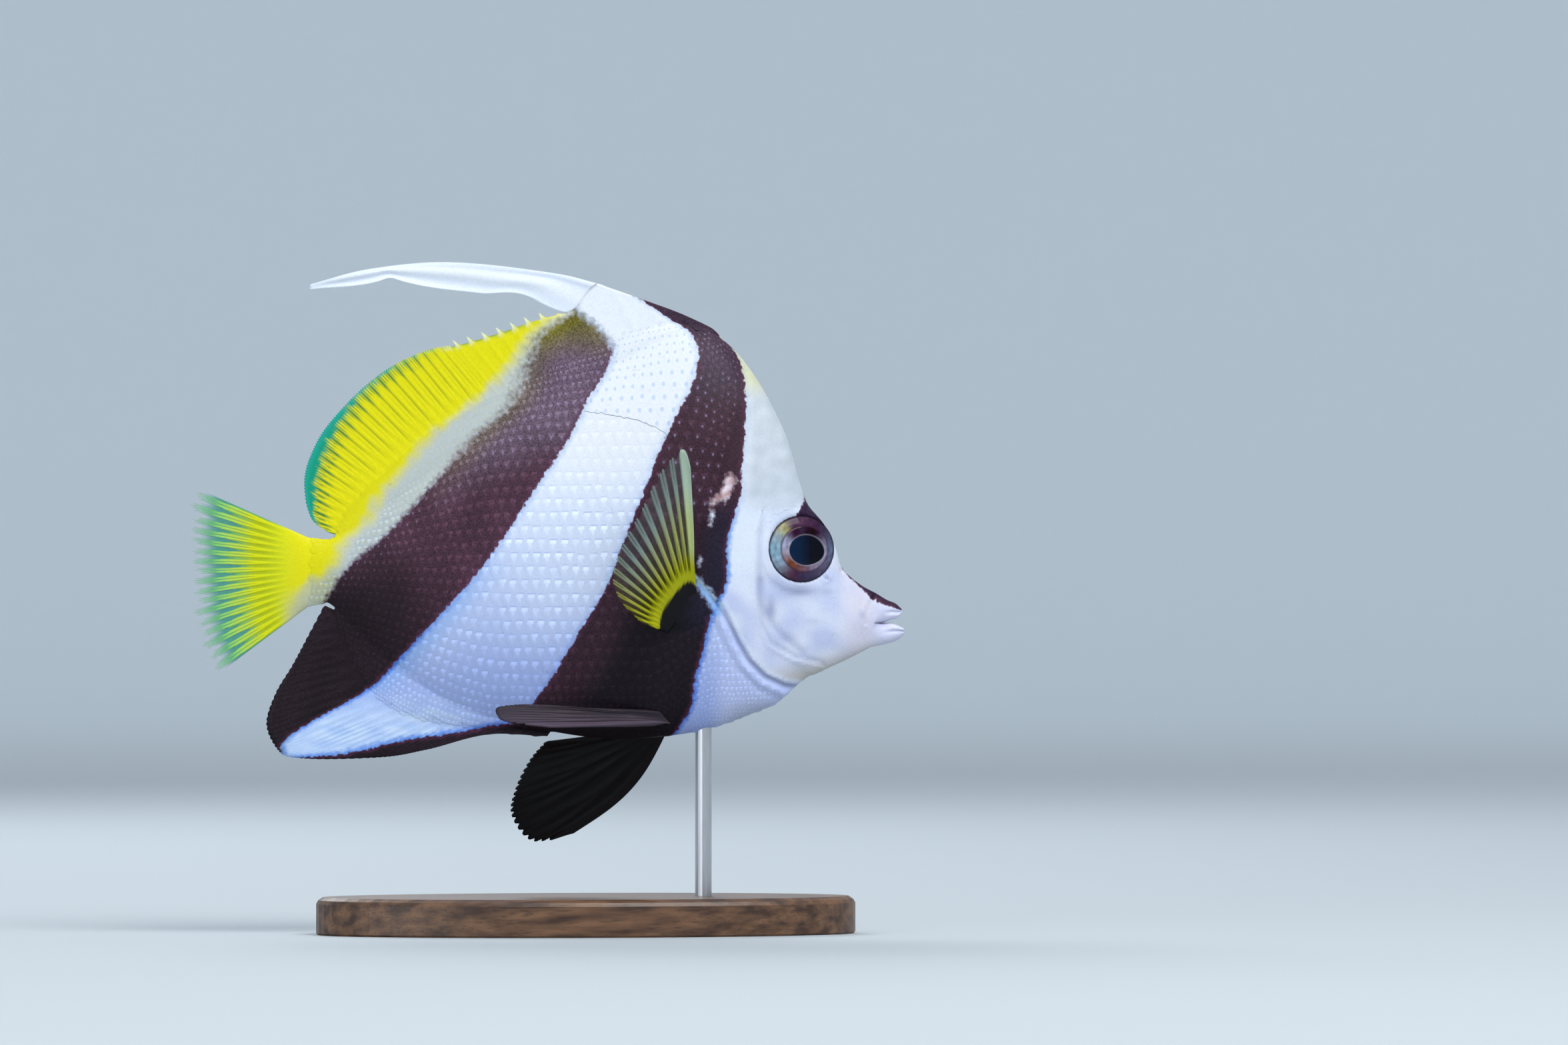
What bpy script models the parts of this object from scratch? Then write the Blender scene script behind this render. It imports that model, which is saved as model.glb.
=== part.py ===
"""A bannerfish at life size, held by one rod on a flat oval stand.

Millimetres in the named values, metres in the meshes, +Z up. The fish looks along +X, its middle
plane is y = 0, and the origin is at the middle of the stand's underside.

The body and its median fins share one net. Column s runs from the front of the head (0) to the
end of the tail stalk (1), and t runs up each column from the belly (-1) to the back (1).
"""

import math

import bmesh
import bpy
import numpy as np

MM = 0.001
GAP = 0.3
HALF_GAP = GAP / 2

# Columns of the net where one node ends and the next begins
GILL_S = 0.42
NAPE_S = 0.49
BANNER_S = (0.585, 0.635)
SOFT_DORSAL_S = 0.73
ANAL_S = (0.752, 0.934)
STALK_S = 0.94
DORSAL_END_S = 0.936
MOUTH_T = -0.12

# Line of the back, which is the outline before the dorsal fin and the fin's root behind it: s, x, z
BACK = [
    (0.00, 70.0, 81.6), (0.05, 66.2, 83.7), (0.10, 61.7, 87.8), (0.14, 59.6, 92.8),
    (0.18, 57.3, 97.6), (0.22, 53.6, 102.6), (0.26, 51.2, 108.8), (0.32, 48.0, 119.6),
    (0.38, 42.5, 130.7), (0.42, 38.5, 136.6), (0.46, 33.1, 142.2), (0.50, 26.7, 144.6),
    (0.60, 8.1, 137.3), (0.70, -12.1, 126.9), (0.80, -33.1, 113.9), (0.88, -48.5, 102.4),
    (0.94, -59.5, 95.0), (0.97, -63.0, 94.2), (1.00, -66.9, 95.0),
]
# Line of the belly, which is the outline before the anal fin and that fin's root behind it: s, x, z
BELLY = [
    (0.00, 68.8, 68.6), (0.10, 63.3, 65.8), (0.26, 55.9, 62.4), (0.42, 50.2, 58.9),
    (0.46, 46.0, 55.2), (0.50, 40.4, 52.8), (0.60, 24.2, 48.0), (0.70, 3.2, 46.9),
    (0.75, -8.1, 48.5), (0.80, -21.8, 51.5), (0.86, -35.4, 57.0), (0.91, -50.1, 68.0),
    (0.94, -60.6, 79.0), (0.97, -63.5, 79.0), (1.00, -66.9, 78.4),
]
# How far each column bows towards the tail between the belly and the back: s, x
BOW = [
    (0.00, 0.0), (0.10, -0.8), (0.26, -8.0), (0.42, -14.6), (0.60, -9.0), (0.80, -3.0), (0.94, 0.0),
    (1.00, 0.0),
]
BOW_SKEW = 0.94
# Half of the body's thickness where it is fattest, at the back's edge and at the belly's edge
THICKNESS = [
    (0.00, 2.9, 0.6, 0.6), (0.10, 4.6, 0.6, 0.6), (0.18, 6.7, 0.6, 0.6), (0.26, 8.9, 0.6, 0.6),
    (0.34, 11.0, 0.6, 0.6), (0.42, 12.4, 0.7, 0.6), (0.50, 12.8, 1.5, 0.6), (0.58, 12.4, 1.6, 0.7),
    (0.66, 11.2, 1.6, 0.8), (0.74, 9.6, 1.5, 1.2), (0.82, 7.5, 1.4, 1.3), (0.88, 5.6, 1.3, 1.2),
    (0.94, 3.4, 1.1, 1.0), (1.00, 2.6, 0.9, 0.9),
]
# Exponents of the rounding towards the back and towards the belly: small is round, near 1 is lean
ROUNDING = [
    (0.00, 0.50, 0.50), (0.42, 0.60, 0.52), (0.55, 0.92, 0.52), (0.75, 1.00, 0.80), (0.90, 0.95, 0.95),
    (1.00, 0.55, 0.55),
]

# Edge of the dorsal fin over its root: s, x, z
DORSAL_EDGE = [
    (0.490, 28.3, 146.1), (0.505, 24.2, 148.1), (0.540, 13.7, 152.0), (0.575, 5.0, 155.0),
    (0.585, 2.6, 155.8), (0.595, 1.0, 154.6), (0.635, -5.0, 148.8), (0.650, -10.0, 147.9),
    (0.690, -21.6, 144.1), (0.720, -30.4, 141.5), (0.750, -38.0, 139.9), (0.782, -46.4, 136.2),
    (0.830, -57.5, 127.1), (0.872, -65.1, 117.0), (0.908, -67.6, 106.4), (0.920, -66.8, 101.6),
    (0.930, -64.9, 98.2), (0.936, -62.0, 96.2),
]
# Edge of the anal fin under its root: s, x, z
ANAL_EDGE = [
    (0.752, -9.5, 47.2), (0.773, -22.4, 47.9), (0.803, -38.5, 44.2), (0.833, -51.2, 42.3),
    (0.853, -67.2, 42.1), (0.875, -74.3, 44.7), (0.888, -76.6, 50.7), (0.900, -74.4, 57.8),
    (0.912, -70.5, 64.4), (0.925, -66.9, 70.6), (0.934, -63.8, 77.4),
]
# Upper and lower edge of the banner from its root to its tip: share of the length, x, z
BANNER_TOP = [(0.00, 2.6, 155.8), (0.08, -3.2, 157.4), (0.20, -12.9, 159.0), (0.50, -36.8, 160.8),
              (0.70, -51.3, 159.3), (1.00, -66.2, 155.5)]
BANNER_LOW = [(0.00, -5.0, 148.8), (0.05, -8.8, 149.7), (0.10, -12.9, 152.1), (0.30, -25.9, 153.4),
              (0.62, -44.4, 156.2), (0.66, -47.2, 157.0), (0.71, -50.3, 156.1), (1.00, -66.2, 154.3)]
# Edge of the tail fin from its upper to its lower corner: share of the edge, x, z
TAIL_EDGE = [(0.00, -92.2, 106.4), (0.10, -93.0, 101.5), (0.50, -92.7, 84.5), (0.70, -92.0, 76.2),
             (0.88, -89.8, 68.2), (1.00, -87.2, 63.0)]
# Jaws from their root on the head to the lips: share of the length, x, z
UPPER_JAW_TOP = [(0.0, 70.0, 81.6), (0.4, 72.7, 80.0), (0.8, 75.1, 78.9), (1.0, 76.3, 77.8)]
UPPER_JAW_LOW = [(0.0, 69.4, 74.7), (0.4, 71.9, 74.9), (0.7, 74.0, 75.4), (1.0, 76.3, 77.0)]
LOWER_JAW_TOP = [(0.0, 69.3, 74.1), (0.4, 71.9, 74.1), (0.7, 74.5, 74.1), (1.0, 76.7, 73.2)]
LOWER_JAW_LOW = [(0.0, 68.8, 68.6), (0.4, 72.7, 69.4), (0.7, 75.1, 70.2), (1.0, 76.9, 71.6)]

# Bend of the tail to the fish's left, which starts at this x and straightens out at the next
SWAY_X = (-35.0, -70.0)
SWAY_SLOPE = 0.14

# Paired fins. Roots are sunk in the body and then cut back to it: share of the root, x, y, z
PECTORAL_ROOT = [(0.0, 24.7, 11.4, 81.9), (1.0, 17.9, 10.9, 72.3)]
PECTORAL_TIP = [
    (0.00, 21.7, 26.0, 111.2), (0.08, 20.1, 27.0, 115.2), (0.16, 17.2, 27.0, 113.6),
    (0.40, 9.6, 26.0, 100.5), (0.64, 4.4, 24.0, 89.9), (0.76, 3.7, 22.0, 84.8),
    (0.88, 6.1, 20.0, 79.5), (1.00, 11.3, 17.0, 74.6),
]
PELVIC_HANGING_ROOT = [(0.0, 20.5, 3.4, 50.2), (1.0, 15.0, 3.0, 49.0)]
PELVIC_HANGING_TIP = [
    (0.0, -1.2, 12.0, 24.3), (0.2, -11.1, 13.0, 22.1), (0.4, -16.4, 12.0, 28.2),
    (0.6, -15.7, 10.5, 34.6), (0.8, -12.6, 9.0, 41.3), (1.0, -8.9, 6.5, 46.0),
]
PELVIC_SWEPT_ROOT = [(0.0, 19.7, 3.2, 50.4), (1.0, 17.1, 5.4, 53.4)]
PELVIC_SWEPT_TIP = [
    (0.0, -9.9, 18.0, 49.9), (0.2, -21.0, 18.0, 51.2), (0.4, -23.2, 16.0, 52.8),
    (0.6, -22.8, 13.5, 54.4), (0.8, -17.9, 12.0, 55.0), (1.0, -13.5, 11.0, 54.9),
]

# Fin rays, raised from a membrane that thins from the root to the edge
MEMBRANE_HALF = 0.3
EDGE_HALF = 0.25
RAY_RISE = 0.28
FRONT_SPINES = 4
BANNER_FOLDS = 2
REAR_SPINES = 8
SOFT_RAYS = 24
ANAL_RAYS = 20
TAIL_RAYS = 17
PECTORAL_RAYS = 15
PELVIC_RAYS = 6

EYE_CENTRE = (50.3, 5.7, 92.2)
EYE_RADII = (7.6, 4.0, 7.8)
NOSTRIL_PLACES = ((0.105, 0.80), (0.085, 0.66))
NOSTRIL_RADIUS = 0.55
COVER_S = 0.30
COVER_T = (-0.84, 0.32)
COVER_THICK = 1.3
STEP = 0.004

STAND_RADII = (65.0, 31.0)
STAND_HEIGHT = 9.0
STAND_EDGE = 1.6
ROD_X = 28.3
ROD_RADIUS = 2.0
ROD_SOCKET_Z = 4.0
ROD_TOP_Z = 53.0

WHITE = (0.80, 0.83, 0.88)
BANDED = (0.55, 0.54, 0.58)
DARK = (0.05, 0.03, 0.04)
OLIVE = (0.35, 0.30, 0.08)
EYE = (0.02, 0.02, 0.04)
YELLOW = (0.90, 0.80, 0.03)
WALNUT = (0.16, 0.08, 0.04)
STEEL = (0.62, 0.62, 0.64)


def clear_scene():
    """Remove whatever the file holds."""
    for thing in list(bpy.data.objects):
        bpy.data.objects.remove(thing, do_unlink=True)


def make_material(name, colour, roughness=0.45, metallic=0.0):
    """One plain material."""
    material = bpy.data.materials.new(name)
    material.use_nodes = True
    shader = material.node_tree.nodes["Principled BSDF"]
    shader.inputs["Base Color"].default_value = (*colour, 1.0)
    shader.inputs["Roughness"].default_value = roughness
    shader.inputs["Metallic"].default_value = metallic
    return material


def curve(table, share):
    """Smooth curve through a table whose first column is the share, read at each share given."""
    rows = np.array(table, dtype=float)
    knots = rows[:, 0]
    values = rows[:, 1:]
    slopes = np.gradient(values, knots, axis=0)
    share = np.clip(np.asarray(share, dtype=float), knots[0], knots[-1])
    left = np.clip(np.searchsorted(knots, share, side="right") - 1, 0, len(knots) - 2)
    width = (knots[left + 1] - knots[left])[..., None]
    u = (share[..., None] - knots[left][..., None]) / width
    start = values[left] * (1 + 2 * u) * (1 - u) ** 2 + slopes[left] * width * u * (1 - u) ** 2
    end = values[left + 1] * u ** 2 * (3 - 2 * u) - slopes[left + 1] * width * u ** 2 * (1 - u)
    return start + end


def sway(x):
    """Sideways shift of the tail, in y, at each x."""
    reach = np.clip((SWAY_X[0] - x) / (SWAY_X[0] - SWAY_X[1]), 0, None)
    bend = np.where(reach < 1, reach ** 2 / 2, reach - 0.5)
    return SWAY_SLOPE * (SWAY_X[0] - SWAY_X[1]) * bend


def in_plane(flat):
    """Points of the middle plane from their x and z, with the tail's bend."""
    return np.stack([flat[..., 0], sway(flat[..., 0]), flat[..., 1]], axis=-1)


def body_point(s, t):
    """Place in the middle plane, x and z, of a point of the net."""
    low = curve(BELLY, s)
    high = curve(BACK, s)
    share = ((t + 1) / 2)[..., None]
    flat = low * (1 - share) + high * share
    bow = curve(BOW, s)[..., 0] * (1 - t ** 2) * (1 - BOW_SKEW * t)
    flat[..., 0] += bow
    return flat


def body_half(s, t):
    """Half of the body's thickness at a point of the net."""
    core, back_edge, belly_edge = np.moveaxis(curve(THICKNESS, s), -1, 0)
    upper, lower = np.moveaxis(curve(ROUNDING, s), -1, 0)
    edge = np.where(t > 0, back_edge, belly_edge)
    power = np.where(t > 0, upper, lower)
    swell = np.clip(1 - t ** 2, 0, 1) ** power
    return edge + (core - edge) * swell


def net(first, second):
    """Two share lists as the rows and columns of a grid."""
    return np.meshgrid(np.asarray(first, dtype=float), np.asarray(second, dtype=float), indexing="ij")


def round_steps(count, low=-1.0, high=1.0):
    """Steps across a column that crowd towards the back and the belly, kept between two limits."""
    steps = np.sin(np.linspace(-math.pi / 2, math.pi / 2, count))
    inner = steps[(steps > low + 0.02) & (steps < high - 0.02)]
    return np.concatenate([[low], inner, [high]])


def pull_in(points, distance=HALF_GAP):
    """Draw the four borders of a grid of points inwards."""
    pulled = points.copy()
    for border, inner in ((0, 1), (-1, -2)):
        step = points[inner] - points[border]
        pulled[border] += step * distance / np.linalg.norm(step, axis=-1, keepdims=True)
        step = points[:, inner] - points[:, border]
        pulled[:, border] += step * distance / np.linalg.norm(step, axis=-1, keepdims=True)
    return pulled


def border_loop(rows, columns):
    """Grid places round the border, in order."""
    loop = [(i, 0) for i in range(rows - 1)]
    loop += [(rows - 1, j) for j in range(columns - 1)]
    loop += [(i, columns - 1) for i in range(rows - 1, 0, -1)]
    loop += [(0, j) for j in range(columns - 1, 0, -1)]
    return loop


def two_sheets(name, right, left, material):
    """Closed solid between two like grids of points, joined round their borders."""
    rows, columns = right.shape[:2]
    mesh_data = bmesh.new()
    sheets = []
    for points in (right, left):
        sheets.append([[mesh_data.verts.new(tuple(point)) for point in row] for row in points])
    for i in range(rows - 1):
        for j in range(columns - 1):
            for sheet, turn in ((sheets[0], 1), (sheets[1], -1)):
                a, b = sheet[i][j], sheet[i + 1][j]
                c, d = sheet[i + 1][j + 1], sheet[i][j + 1]
                mesh_data.faces.new((a, b, c)[::turn])
                mesh_data.faces.new((a, c, d)[::turn])
    loop = border_loop(rows, columns)
    for (i, j), (k, m) in zip(loop, loop[1:] + loop[:1]):
        mesh_data.faces.new((sheets[0][k][m], sheets[0][i][j], sheets[1][i][j]))
        mesh_data.faces.new((sheets[0][k][m], sheets[1][i][j], sheets[1][k][m]))
    return finish_mesh(name, mesh_data, material)


def finish_mesh(name, mesh_data, material):
    """Object of the scene from mesh data in millimetres, whose faces are turned outwards here."""
    bmesh.ops.recalc_face_normals(mesh_data, faces=mesh_data.faces)
    if mesh_data.calc_volume(signed=True) < 0:
        bmesh.ops.reverse_faces(mesh_data, faces=mesh_data.faces)
    bmesh.ops.scale(mesh_data, vec=(MM, MM, MM), verts=mesh_data.verts)
    mesh = bpy.data.meshes.new(name)
    mesh_data.to_mesh(mesh)
    mesh_data.free()
    mesh.materials.append(material)
    mesh.shade_smooth()
    mesh.set_sharp_from_angle(angle=math.radians(40))
    thing = bpy.data.objects.new(name, mesh)
    bpy.context.collection.objects.link(thing)
    return thing


def slab(name, points, half, material, gap=HALF_GAP):
    """Solid as thick in y as twice half, on a grid of the middle plane."""
    middle = pull_in(points, gap)
    side = np.zeros_like(middle)
    side[..., 1] = half
    return two_sheets(name, middle - side, middle + side, material)


def cut(thing, cutter, solver="EXACT"):
    """Take a cutter's shape out of a solid."""
    cutter.hide_render = True
    cutter.display_type = "WIRE"
    modifier = thing.modifiers.new("cut", "BOOLEAN")
    modifier.operation = "DIFFERENCE"
    modifier.solver = solver
    modifier.object = cutter


def grown_copy(thing, name, distance=GAP):
    """Copy of a solid whose skin stands out by a distance, as a cutter for what meets it."""
    mesh_data = bmesh.new()
    mesh_data.from_mesh(thing.data)
    bmesh.ops.scale(mesh_data, vec=(1 / MM, 1 / MM, 1 / MM), verts=mesh_data.verts)
    mesh_data.normal_update()
    moves = [vert.normal * vert.calc_shell_factor() * distance for vert in mesh_data.verts]
    for vert, move in zip(mesh_data.verts, moves):
        vert.co += move
    return finish_mesh(name, mesh_data, thing.data.materials[0])


def ball(name, centre, radii, material, segments=24, rings=14):
    """Flattened ball whose poles point sideways."""
    mesh_data = bmesh.new()
    bmesh.ops.create_uvsphere(mesh_data, u_segments=segments, v_segments=rings, radius=1.0)
    for vert in mesh_data.verts:
        x, y, z = vert.co
        vert.co = (centre[0] + x * radii[0], centre[1] + z * radii[1], centre[2] + y * radii[2])
    return finish_mesh(name, mesh_data, material)


def add_trunk(material):
    """Body between the gill covers and the tail stalk."""
    s, t = net(np.linspace(GILL_S, STALK_S, 32), round_steps(21))
    return slab("trunk", in_plane(body_point(s, t)), body_half(s, t), material)


def head_columns():
    """Columns of the head, with a close pair where the gill covers' recess begins."""
    front = np.linspace(0.0, COVER_S - STEP, 17)
    rear = np.linspace(COVER_S, GILL_S, 8)
    return np.concatenate([front, rear])


def head_rows():
    """Rows of the head, with close pairs at the edges of the gill covers' recess."""
    low = round_steps(25, -1.0, COVER_T[0] - STEP)
    middle = round_steps(25, COVER_T[0], COVER_T[1])
    high = round_steps(25, COVER_T[1] + STEP, 1.0)
    return np.concatenate([low, middle, high])


def in_cover(s, t):
    """True where the net lies under a gill cover."""
    return (s >= COVER_S - 1e-9) & (t >= COVER_T[0] - 1e-9) & (t <= COVER_T[1] + 1e-9)


def add_head(material):
    """Head behind the jaws, with sockets, nostrils and a recess for each gill cover."""
    s, t = net(head_columns(), head_rows())
    half = body_half(s, t) - np.where(in_cover(s, t), COVER_THICK + GAP, 0.0)
    head = slab("head", in_plane(body_point(s, t)), half, material)
    for side in (-1, 1):
        centre = (EYE_CENTRE[0], side * EYE_CENTRE[1], EYE_CENTRE[2])
        radii = [radius + GAP for radius in EYE_RADII]
        cut(head, ball(f"socket_cutter_{side}", centre, radii, material))
        for number, (column, row) in enumerate(NOSTRIL_PLACES):
            place = body_point(np.array(column), np.array(row))
            depth = float(body_half(np.array(column), np.array(row)))
            centre = (place[0], side * depth, place[1])
            cutter = ball(f"nostril_cutter_{side}_{number}", centre, [NOSTRIL_RADIUS] * 3, material, 10, 6)
            cut(head, cutter)
    return head


def add_gill_covers(material):
    """Thin plates that lie in the head's recesses, open to the rear."""
    s, t = net(np.linspace(COVER_S, GILL_S, 8), round_steps(25, *COVER_T))
    points = pull_in(in_plane(body_point(s, t)), HALF_GAP)
    points[0] += (points[1] - points[0]) * 0.1
    half = body_half(s, t)
    for name, side in (("gill_cover_right", -1), ("gill_cover_left", 1)):
        outer = points.copy()
        outer[..., 1] += side * half
        inner = points.copy()
        inner[..., 1] += side * (half - COVER_THICK)
        two_sheets(name, outer, inner, material)


def add_jaw(name, low_table, high_table, row_range, tip_half, material):
    """One jaw, from the head's front face to its lip."""
    a, b = net(np.linspace(0, 1, 9), (1 - np.cos(np.linspace(0, math.pi, 8))) / 2)
    flat = curve(low_table, a) * (1 - b[..., None]) + curve(high_table, a) * b[..., None]
    t = row_range[0] + (row_range[1] - row_range[0]) * b
    face = body_point(np.zeros_like(t), t)
    root = np.clip(1 - a / 0.3, 0, 1)[..., None] ** 2
    flat = flat * (1 - root) + face * root
    round_lip = np.clip(1 - (2 * b - 1) ** 2, 0, 1) ** 0.5
    lip = 0.4 + (2.9 + (tip_half - 2.9) * a - 0.4) * (0.35 + 0.65 * round_lip)
    lip = lip * (1 - 0.35 * np.clip((a - 0.8) / 0.2, 0, 1) ** 2)
    blend = np.clip(a / 0.35, 0, 1) ** 2 * (3 - 2 * np.clip(a / 0.35, 0, 1))
    half = body_half(np.zeros_like(t), t) * (1 - blend) + lip * blend
    slab(name, in_plane(flat), half, material)


def ray_columns(first, last, rays):
    """Columns of a fin, a valley, a ray, a valley and so on, with a sign that is 1 on the rays."""
    columns = np.linspace(first, last, 2 * rays + 1)
    return columns, np.arange(2 * rays + 1) % 2


def fin_half(v, is_ray, root_half, blend_to=0.35):
    """Half of a fin's thickness at share v of its height, with the rays raised."""
    fade = np.clip(v / blend_to, 0, 1)
    fade = fade ** 2 * (3 - 2 * fade)
    membrane = MEMBRANE_HALF + (EDGE_HALF - MEMBRANE_HALF) * v
    return root_half * (1 - fade) + membrane * fade + is_ray * RAY_RISE * (1 - 0.7 * v)


def median_fin(name, columns, is_ray, root_t, edge_table, jut, heights, material):
    """Fin that stands on the back (root_t 1) or hangs from the belly (root_t -1)."""
    s, v = net(columns, heights)
    rays = np.repeat(np.asarray(is_ray)[:, None], len(heights), axis=1)
    reach = v * (1 + np.asarray(jut)[:, None] * v ** 4)
    root = body_point(s, np.full_like(s, root_t))
    flat = root * (1 - reach[..., None]) + curve(edge_table, s) * reach[..., None]
    root_half = body_half(s, np.full_like(s, root_t))
    slab(name, in_plane(flat), fin_half(v, rays, root_half), material)


def add_dorsal_fins(white, olive, yellow):
    """Short first spines, the spines behind the banner, and the soft part."""
    heights = [0, 0.12, 0.3, 0.5, 0.75, 1.0]
    front, front_rays = ray_columns(NAPE_S, BANNER_S[0], FRONT_SPINES)
    under, under_rays = ray_columns(*BANNER_S, BANNER_FOLDS)
    jut = np.concatenate([front_rays * 0.04, np.zeros(len(under) - 1)])
    columns = np.concatenate([front, under[1:]])
    rays = np.concatenate([front_rays, under_rays[1:]])
    median_fin("dorsal_fin_front", columns, rays, 1.0, DORSAL_EDGE, jut, heights, white)
    columns, rays = ray_columns(BANNER_S[1], SOFT_DORSAL_S, REAR_SPINES)
    median_fin("dorsal_fin_spines", columns, rays, 1.0, DORSAL_EDGE, rays * 0.035, heights, olive)
    columns, rays = ray_columns(SOFT_DORSAL_S, DORSAL_END_S, SOFT_RAYS)
    median_fin("dorsal_fin_soft", columns, rays, 1.0, DORSAL_EDGE, rays * 0.008, heights, yellow)


def add_banner(material):
    """Long white streamer of the fourth spine."""
    u, w = net(np.linspace(0, 1, 26) ** 1.1, [0, 0.12, 0.35, 0.65, 1.0])
    flat = curve(BANNER_TOP, u) * (1 - w[..., None]) + curve(BANNER_LOW, u) * w[..., None]
    root = curve(DORSAL_EDGE, BANNER_S[0] + (BANNER_S[1] - BANNER_S[0]) * w)
    near_root = np.clip(1 - u / 0.08, 0, 1)[..., None]
    flat = flat * (1 - near_root) + root * near_root
    points = in_plane(flat)
    points[..., 1] += 1.6 * np.sin(u * 7.0) * u
    spine = np.exp(-((w - 0.12) / 0.12) ** 2) * 0.35 * (1 - u)
    half = MEMBRANE_HALF + (EDGE_HALF - MEMBRANE_HALF) * u + spine
    slab("banner", points, half, material)


def add_anal_fin(material):
    """Fin behind the belly, with three spines and soft rays."""
    columns, rays = ray_columns(*ANAL_S, ANAL_RAYS)
    heights = [0, 0.1, 0.25, 0.5, 0.75, 1.0]
    median_fin("anal_fin", columns, rays, -1.0, ANAL_EDGE, rays * 0.008, heights, material)


def add_tail(stalk_material, fin_material):
    """Tail stalk and the fan of the tail fin."""
    s, t = net(np.linspace(STALK_S, 1.0, 6), round_steps(15))
    slab("tail_stalk", in_plane(body_point(s, t)), body_half(s, t), stalk_material)
    q, is_ray = ray_columns(0, 1, TAIL_RAYS)
    heights = np.array([0, 0.12, 0.3, 0.5, 0.7, 0.85, 1.0])
    share, v = net(q, heights)
    t = 1 - 2 * share
    root = body_point(np.ones_like(t), t)
    rays = np.repeat(is_ray[:, None], len(heights), axis=1)
    reach = v * (1 + rays * 0.012 * v ** 4)
    flat = root * (1 - reach[..., None]) + curve(TAIL_EDGE, share) * reach[..., None]
    half = fin_half(v, rays, body_half(np.ones_like(t), t), 0.5)
    slab("tail_fin", in_plane(flat), half, fin_material)


def paired_fin(name, side, root_table, tip_table, rays, bow, material, body_cutter):
    """Fan of rays from a sunk root, cut back to the body's skin. Side -1 is the fish's right.

    The rays bow forwards and down, most at the leading one, and outwards.
    """
    q, is_ray = ray_columns(0, 1, rays)
    heights = np.array([0, 0.1, 0.22, 0.4, 0.6, 0.8, 1.0])
    share, v = net(q, heights)
    ray_sign = np.repeat(is_ray[:, None], len(heights), axis=1)
    reach = (v * (1 + ray_sign * 0.01 * v ** 4))[..., None]
    points = curve(root_table, share) * (1 - reach) + curve(tip_table, share) * reach
    points += np.array([bow[0], 0, bow[1]]) * (np.sin(math.pi * v) * (1 - share))[..., None]
    points[..., 1] += bow[2] * np.sin(math.pi * v)
    points[..., 1] *= side
    along = np.gradient(points, axis=1)
    across = np.cross(np.gradient(points, axis=0), along)
    across /= np.linalg.norm(across, axis=-1, keepdims=True)
    offset = across * fin_half(v, ray_sign, 0.7, 0.6)[..., None]
    fin = two_sheets(name, points - offset, points + offset, material)
    cut(fin, body_cutter, "MANIFOLD")


def add_eye(name, side, material):
    """Flattened ball of an eye."""
    centre = (EYE_CENTRE[0], side * EYE_CENTRE[1], EYE_CENTRE[2])
    ball(name, centre, EYE_RADII, material)


def cylinder(name, radius, low, high, material, segments=24):
    """Upright cylinder on the rod's line."""
    mesh_data = bmesh.new()
    bmesh.ops.create_cone(
        mesh_data, cap_ends=True, segments=segments, radius1=radius, radius2=radius, depth=high - low
    )
    bmesh.ops.translate(mesh_data, verts=mesh_data.verts, vec=(ROD_X, 0, (low + high) / 2))
    return finish_mesh(name, mesh_data, material)


def add_stand(wood, steel, body_cutter):
    """Flat oval base and the rod that carries the fish under its breast."""
    mesh_data = bmesh.new()
    levels = ((0.0, 0.5), (0.5, 0.0), (STAND_HEIGHT - STAND_EDGE, 0.0),
              (STAND_HEIGHT - 0.45 * STAND_EDGE, 0.3 * STAND_EDGE), (STAND_HEIGHT, STAND_EDGE))
    rings = []
    for height, inset in levels:
        ring = []
        for angle in np.linspace(0, 2 * math.pi, 64, endpoint=False):
            x = (STAND_RADII[0] - inset) * math.cos(angle)
            y = (STAND_RADII[1] - inset) * math.sin(angle)
            ring.append(mesh_data.verts.new((x, y, height)))
        rings.append(ring)
    for low, high in zip(rings, rings[1:]):
        for k in range(len(low)):
            n = (k + 1) % len(low)
            mesh_data.faces.new((low[k], low[n], high[n], high[k]))
    mesh_data.faces.new(rings[0][::-1])
    mesh_data.faces.new(rings[-1])
    base = finish_mesh("stand_base", mesh_data, wood)
    cut(base, cylinder("rod_hole_cutter", ROD_RADIUS + GAP, ROD_SOCKET_Z, STAND_HEIGHT + 5, wood))
    rod = cylinder("stand_rod", ROD_RADIUS, ROD_SOCKET_Z + GAP, ROD_TOP_Z, steel)
    cut(rod, body_cutter)


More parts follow.
